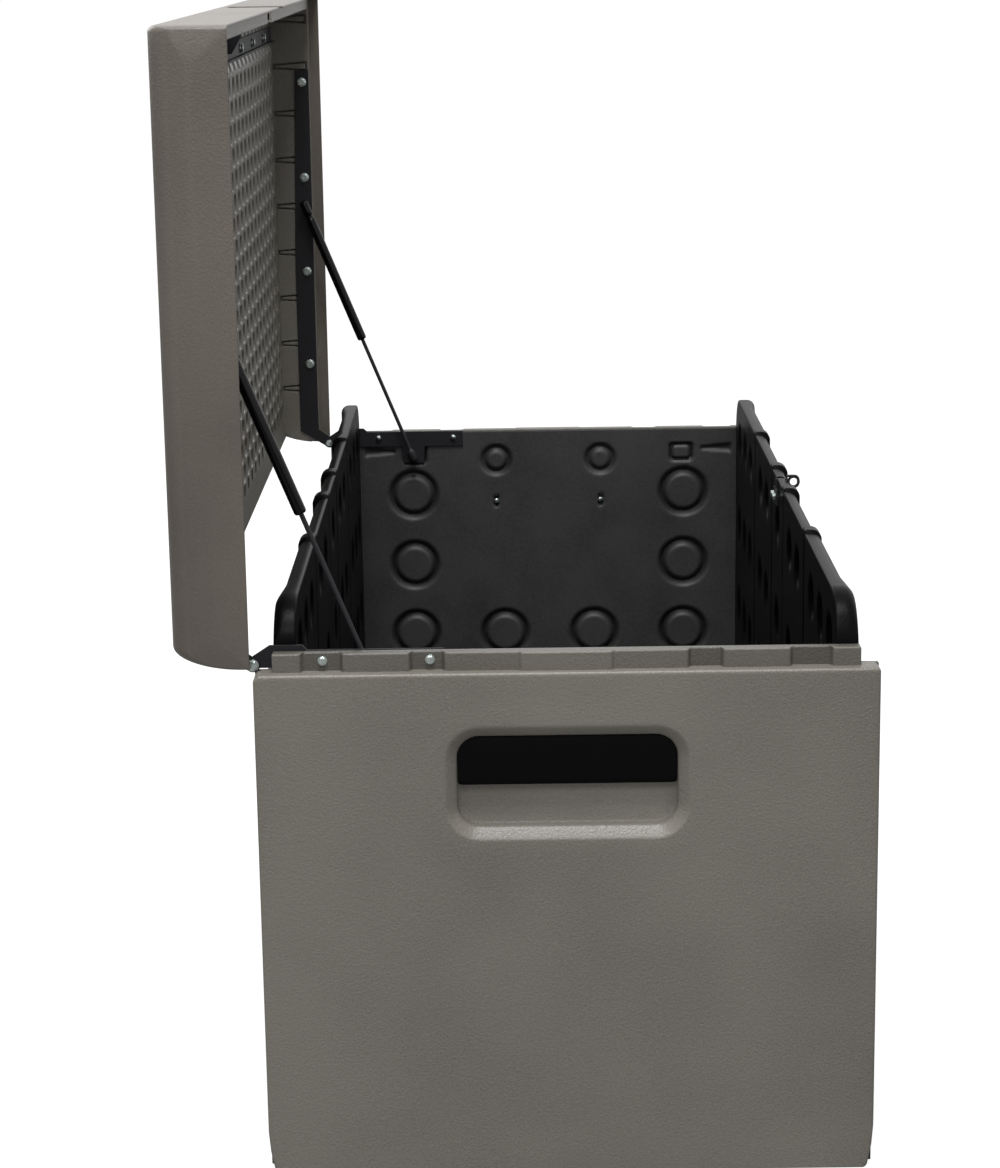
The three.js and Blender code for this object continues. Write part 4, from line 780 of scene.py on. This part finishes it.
def lidOutline(inset, frontFoot, rearFoot, p):
    # up the front, round the corner, along the roof and down a quarter ellipse to the rear foot, all inset:
    # the front and rear by the first of the two insets, the roof by the second
    side, drop = inset
    corner = max(p["frontCorner"] - side, p["leastCorner"])
    front, top = p["front"] + side, p["top"] - drop
    turn = np.linspace(np.pi, np.pi / 2, p["arcSteps"])[1:]
    rise = np.linspace(frontFoot, top - corner, p["frontSteps"])
    deep, tall = p["rearCurve"]
    sweep = np.linspace(np.pi / 2, 0, p["curveSteps"])
    curveY = np.append(-deep + (deep - side) * np.cos(sweep), -side)
    curveZ = np.append(p["top"] - tall + (tall - drop) * np.sin(sweep), p["foot"])
    run = np.append(0, np.cumsum(np.hypot(np.diff(curveY), np.diff(curveZ))))
    at = np.linspace(0, np.interp(-rearFoot, -curveZ, run), p["rearSteps"])
    roof = np.linspace(front + corner, -deep, p["roofSteps"])[1:-1]
    y = np.concatenate([np.full(len(rise), front), front + corner + corner * np.cos(turn), roof,
                        np.interp(at, run, curveY)])
    z = np.concatenate([rise, top - corner + corner * np.sin(turn), np.full(len(roof), top),
                        np.interp(at, run, curveZ)])
    return y, z


def lidShellPiece(node, p):
    # half of the rings, from the middle to an end: sheet, then the end wall, its rounded edge and its crown
    edge = p["end"] - p["crown"]
    flatEnd = edge - p["endRound"]
    half, tall, corner = p["padlockNotch"]
    notchEnd, notchTop = p["hingeNotch"]
    stops = [half - corner + corner * k for k in p["notchShares"]] + [half + p["gap"]]
    stops += [a + b for a in (p["innerEnd"], notchEnd) for b in (0, p["gap"])]
    stations = np.unique(np.concatenate([lines((0, flatEnd, p["grid"])), stops]))
    rings = []

    def ringAt(x, inset, closed):
        # the outline and, back again, either the inner face of the sheet or a straight foot; the feet rise at
        # the padlock notch, between the end walls and at the hinge
        bite = corner - math.sqrt(max(corner ** 2 - max(x - half + corner, 0) ** 2, 0))
        frontFoot = tall - bite if x <= half else p["foot"]
        rearFoot = p["rim"] if x <= p["innerEnd"] else notchTop if x <= notchEnd else p["foot"]
        y, z = lidOutline(inset, frontFoot, rearFoot, p)
        if closed:
            backY = np.linspace(y[-1], y[0], len(y) + 2)[1:-1]
            backZ = np.full(len(y), float(p["foot"]))
        else:
            innerY, innerZ = lidOutline(inset + p["sheet"], frontFoot, rearFoot, p)
            backY, backZ = innerY[::-1], innerZ[::-1]
        return np.stack([np.full(2 * len(y), x), np.append(y, backY), np.append(z, backZ)], 1)

    for x in stations:
        rings.append(ringAt(x, np.zeros(2), False))
    wallTurn = math.asin((p["wall"] - flatEnd) / p["endRound"])
    turns = [(turn, False) for turn in np.linspace(0, wallTurn, p["wallSteps"])[1:]]
    turns += [(turn, True) for turn in np.linspace(wallTurn, np.pi / 2, p["edgeSteps"])]
    for turn, closed in turns:
        inset = p["endRound"] * (1 - math.cos(turn)) * np.array([p["sideShare"], 1])
        rings.append(ringAt(flatEnd + p["endRound"] * math.sin(turn), inset, closed))
    border = rings[-1]
    spine = np.stack([np.zeros(len(border)), np.clip(border[:, 1], p["front"] + p["spine"], -p["spine"]),
                      np.full(len(border), p["spine"])], 1)
    for share in p["crownShares"]:
        ring = border + (spine - border) * share
        ring[:, 0] = edge + p["crown"] * math.sin(share * np.pi / 2)
        rings.append(ring)
    rings = np.stack(rings)
    rings = np.concatenate([rings[:0:-1] * np.array([-1, 1, 1]), rings])
    hingeY, hingeZ = p["axis"]
    points = np.stack([rings[..., 0], hingeY + rings[..., 2], hingeZ - rings[..., 1]], 2) * mm
    piece = sweptPiece(node + "_moulded", points, node, shadedLidPlastic)
    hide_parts(node)


lidShellPiece("lid_shell", lidShell)
print("lid's outer sheet moulded")


# Tongues that stand in the tapered pockets of the lid's end walls, so that each shows as a dark outline
tongue = {
    "axis": (367, 630), "first": -92, "last": -699, "count": 9, "foot": 22.6, "head": 72.8,
    "wide": 4.9, "narrow": 1.3, "lean": 0.9, "face": 734.8, "floor": 741.2, "thick": 0.4,
}


def tonguePiece(sign, side, t):
    # each tongue is a tapered block: a ring at the pocket's floor and a smaller one just below the wall's
    # face, with one strip in the floor between neighbours, so that they make one closed sweep along y'
    places = np.linspace(t["last"], t["first"], t["count"])
    rings = []
    for place in places:
        for spread, depth in ((t["wide"] + t["lean"], t["floor"]), (t["wide"], t["face"])):
            rings.append((place - spread, depth))
        for spread, depth in ((t["wide"], t["face"]), (t["wide"] + t["lean"], t["floor"])):
            rings.append((place + spread, depth))
    slim = t["narrow"] / t["wide"]
    back = t["floor"] + t["thick"]
    points = []
    for i, (at, depth) in enumerate(rings):
        middle = places[i // 4]
        top = middle + (at - middle) * slim
        front, rear = ((reach, at, t["foot"]) for reach in (depth, back))
        points.append([front, (depth, top, t["head"]), (back, top, t["head"]), rear])
    points = np.array(points)
    hingeY, hingeZ = t["axis"]
    placed = np.stack([sign * points[..., 0], hingeY + points[..., 2], hingeZ - points[..., 1]], 2) * mm
    sweptPiece(side + "_lid_pocket_tongues", placed, "lid_liner")


for sign, side in ((-1, "left"), (1, "right")):
    tonguePiece(sign, side, tongue)
print("pocket tongues moulded")


# Gas struts: lacquered tube with rolled ends, dark rod and ball sockets, turned about the strut's own line
strut = {
    "x": 713, "lower": (226, 606), "upper": (396, 1029.01), "around": 40,
    "tube": [(0.5, 215.9), (5.2, 215.9), (6.6, 216.6), (7.3, 218.2), (7.5, 220), (7.5, 427), (7.3, 429.5),
             (6.6, 431.5), (5.8, 432.5), (5.6, 434), (5.6, 437), (6.0, 438.5), (6.8, 440), (7.2, 442.5),
             (7.4, 447), (7.4, 457), (7.0, 460), (5.8, 462.2), (3.5, 463.2), (0.5, 463.4)],
    "rod": [(0.5, -7), (4.5, -6.8), (6.4, -5.6), (7, -3.5), (7, 9), (6.4, 11.6), (4, 14.2), (3.2, 15.2),
            (3.0, 16.5), (3.0, 215.5), (0.5, 215.6)],
}


def lathe(name, profile, foot, head, around, stands, material):
    # each profile point is a circle of that radius at that distance along the line from foot to head
    foot, head = np.array(foot, float), np.array(head, float)
    along = (head - foot) / np.linalg.norm(head - foot)
    across = np.array([1.0, 0, 0])
    other = np.cross(along, across)
    turn = np.linspace(0, 2 * np.pi, around, endpoint=False)
    circle = across * np.cos(turn)[:, None] + other * np.sin(turn)[:, None]
    rings = [foot + along * height + circle * radius for radius, height in profile]
    piece = sweptPiece(name, np.stack(rings) * mm, stands, material)
    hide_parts(stands)


for sign, side in ((-1, "left"), (1, "right")):
    foot = (sign * strut["x"], *strut["lower"])
    head = (sign * strut["x"], *strut["upper"])
    for part, node, paint in (("tube", "_strut_cylinder", strutPaint), ("rod", "_strut_rod", blackSteel)):
        name = f"{side}_strut_{part}_turned"
        lathe(name, strut[part], foot, head, strut["around"], side + node, paint)
print("struts turned")


# Bolts: hexagon heads with a chamfered top and a washer face, shaft and nut, each along its own axis
bolt = {
    "shaft": 3, "neck": 4.6, "nut": 5.6, "nutFrom": 9, "nutEnds": (5.2, 5.1, 0.9, 0.6), "tipLength": 0.3,
    "tipTaper": 0.6, "cornerSpread": 1.06, "around": 48, "lipSize": 0.78, "screwSize": 0.6, "screwReach": 16,
    "headProfile": [(0.3, 0.5, 0), (0, 4.0, 0), (0.15, 5.6, 0.4), (0.7, 6.2, 1), (3.1, 6.2, 1), (3.2, 7.2, 0),
                    (4.2, 7.4, 0), (4.5, 7.2, 0)],
}


def hexRadius(turn):
    # distance from the middle of a hexagon, 1 across its corners, to its side, against the angle
    return math.cos(math.pi / 6) / np.cos((turn % (math.pi / 3)) - math.pi / 6)


def boltPiece(node, axis, outward, b, size=1.0, reach=None):
    # along the bolt from head to tail: radius against distance, blended between circle and hexagon
    low, high = (np.array(corner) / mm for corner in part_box(node))
    middle = (low + high) / 2
    length = reach or high[axis] - low[axis]
    start = high[axis] if outward > 0 else low[axis]
    hasNut = length > b["nutFrom"] and axis == 0 and not reach
    profile = b["headProfile"] + [(b["neck"], b["shaft"], 0)]
    if hasNut:
        radii = ((b["shaft"], 0), (b["nut"], 1), (b["nut"], 1), (b["shaft"], 0))
        profile += [(length - end, *radius) for end, radius in zip(b["nutEnds"], radii)]
    profile += [(length - b["tipLength"], b["shaft"], 0), (length, b["shaft"] - b["tipTaper"], 0)]
    turn = np.linspace(0, 2 * np.pi, b["around"], endpoint=False)
    others = [k for k in range(3) if k != axis]
    rings = []
    for distance, radius, share in profile:
        reachOut = max(radius * size, min(radius, b["shaft"]))
        r = reachOut * (1 - share + share * hexRadius(turn) * b["cornerSpread"])
        ring = np.zeros((b["around"], 3))
        ring[:, axis] = start - outward * distance
        ring[:, others[0]] = middle[others[0]] + r * np.cos(turn)
        ring[:, others[1]] = middle[others[1]] + r * np.sin(turn)
        rings.append(ring)
    piece = sweptPiece(node + "_turned", np.stack(rings) * mm, node)
    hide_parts(node)


for sign, side in ((-1, "left"), (1, "right")):
    for i in range(1, 5):
        boltPiece(f"{side}_arm_bolt_{i}", 0, -sign, bolt)
    for i in range(1, 3):
        boltPiece(f"{side}_lip_bolt_{i}", 0, sign, bolt, bolt["lipSize"])
    boltPiece(f"{side}_pivot_bolt", 0, sign, bolt)
    for place in ("front", "rear"):
        boltPiece(f"{side}_grip_screw_{place}", 0, -sign, bolt, bolt["screwSize"], bolt["screwReach"])
for i in range(1, 7):
    boltPiece(f"bar_bolt_{i}", 1, -1, bolt)
for i in range(1, 3):
    boltPiece(f"hasp_bolt_{i}", 1, -1, bolt)
print("bolts turned")


# Staple that lines the padlock eye: a round bar out of the wall, round two corners and back
staple = {
    "x": 0, "near": -329, "far": -345.6, "top": 704.2, "foot": 688.6, "corner": 5.5, "cornerSteps": 8,
    "bar": 1.9, "around": 20,
}


def staplePiece(node, p):
    # the path is two straight runs joined by quarter circles, with a circle square to it at each point
    turn = np.linspace(0, np.pi / 2, p["cornerSteps"])
    corner, near = p["corner"], [p["near"]]
    bendY = p["far"] + corner
    y = np.concatenate([near, bendY - corner * np.sin(turn), bendY - corner * np.cos(turn), near])
    upper = p["top"] - corner + corner * np.cos(turn)
    lower = p["foot"] + corner - corner * np.sin(turn)
    z = np.concatenate([[p["top"]], upper, lower, [p["foot"]]])
    angle = np.concatenate([[0], turn, np.pi / 2 + turn, [np.pi]])
    circle = np.linspace(0, 2 * np.pi, p["around"], endpoint=False)
    out = np.cos(circle) * p["bar"]
    points = np.stack([
        p["x"] + np.broadcast_to(np.sin(circle) * p["bar"], (len(y), p["around"])),
        y[:, None] - np.sin(angle)[:, None] * out,
        z[:, None] + np.cos(angle)[:, None] * out,
    ], 2) * mm
    sweptPiece("padlock_staple", points, node)


staplePiece("padlock_eye", staple)
print("staple bent")
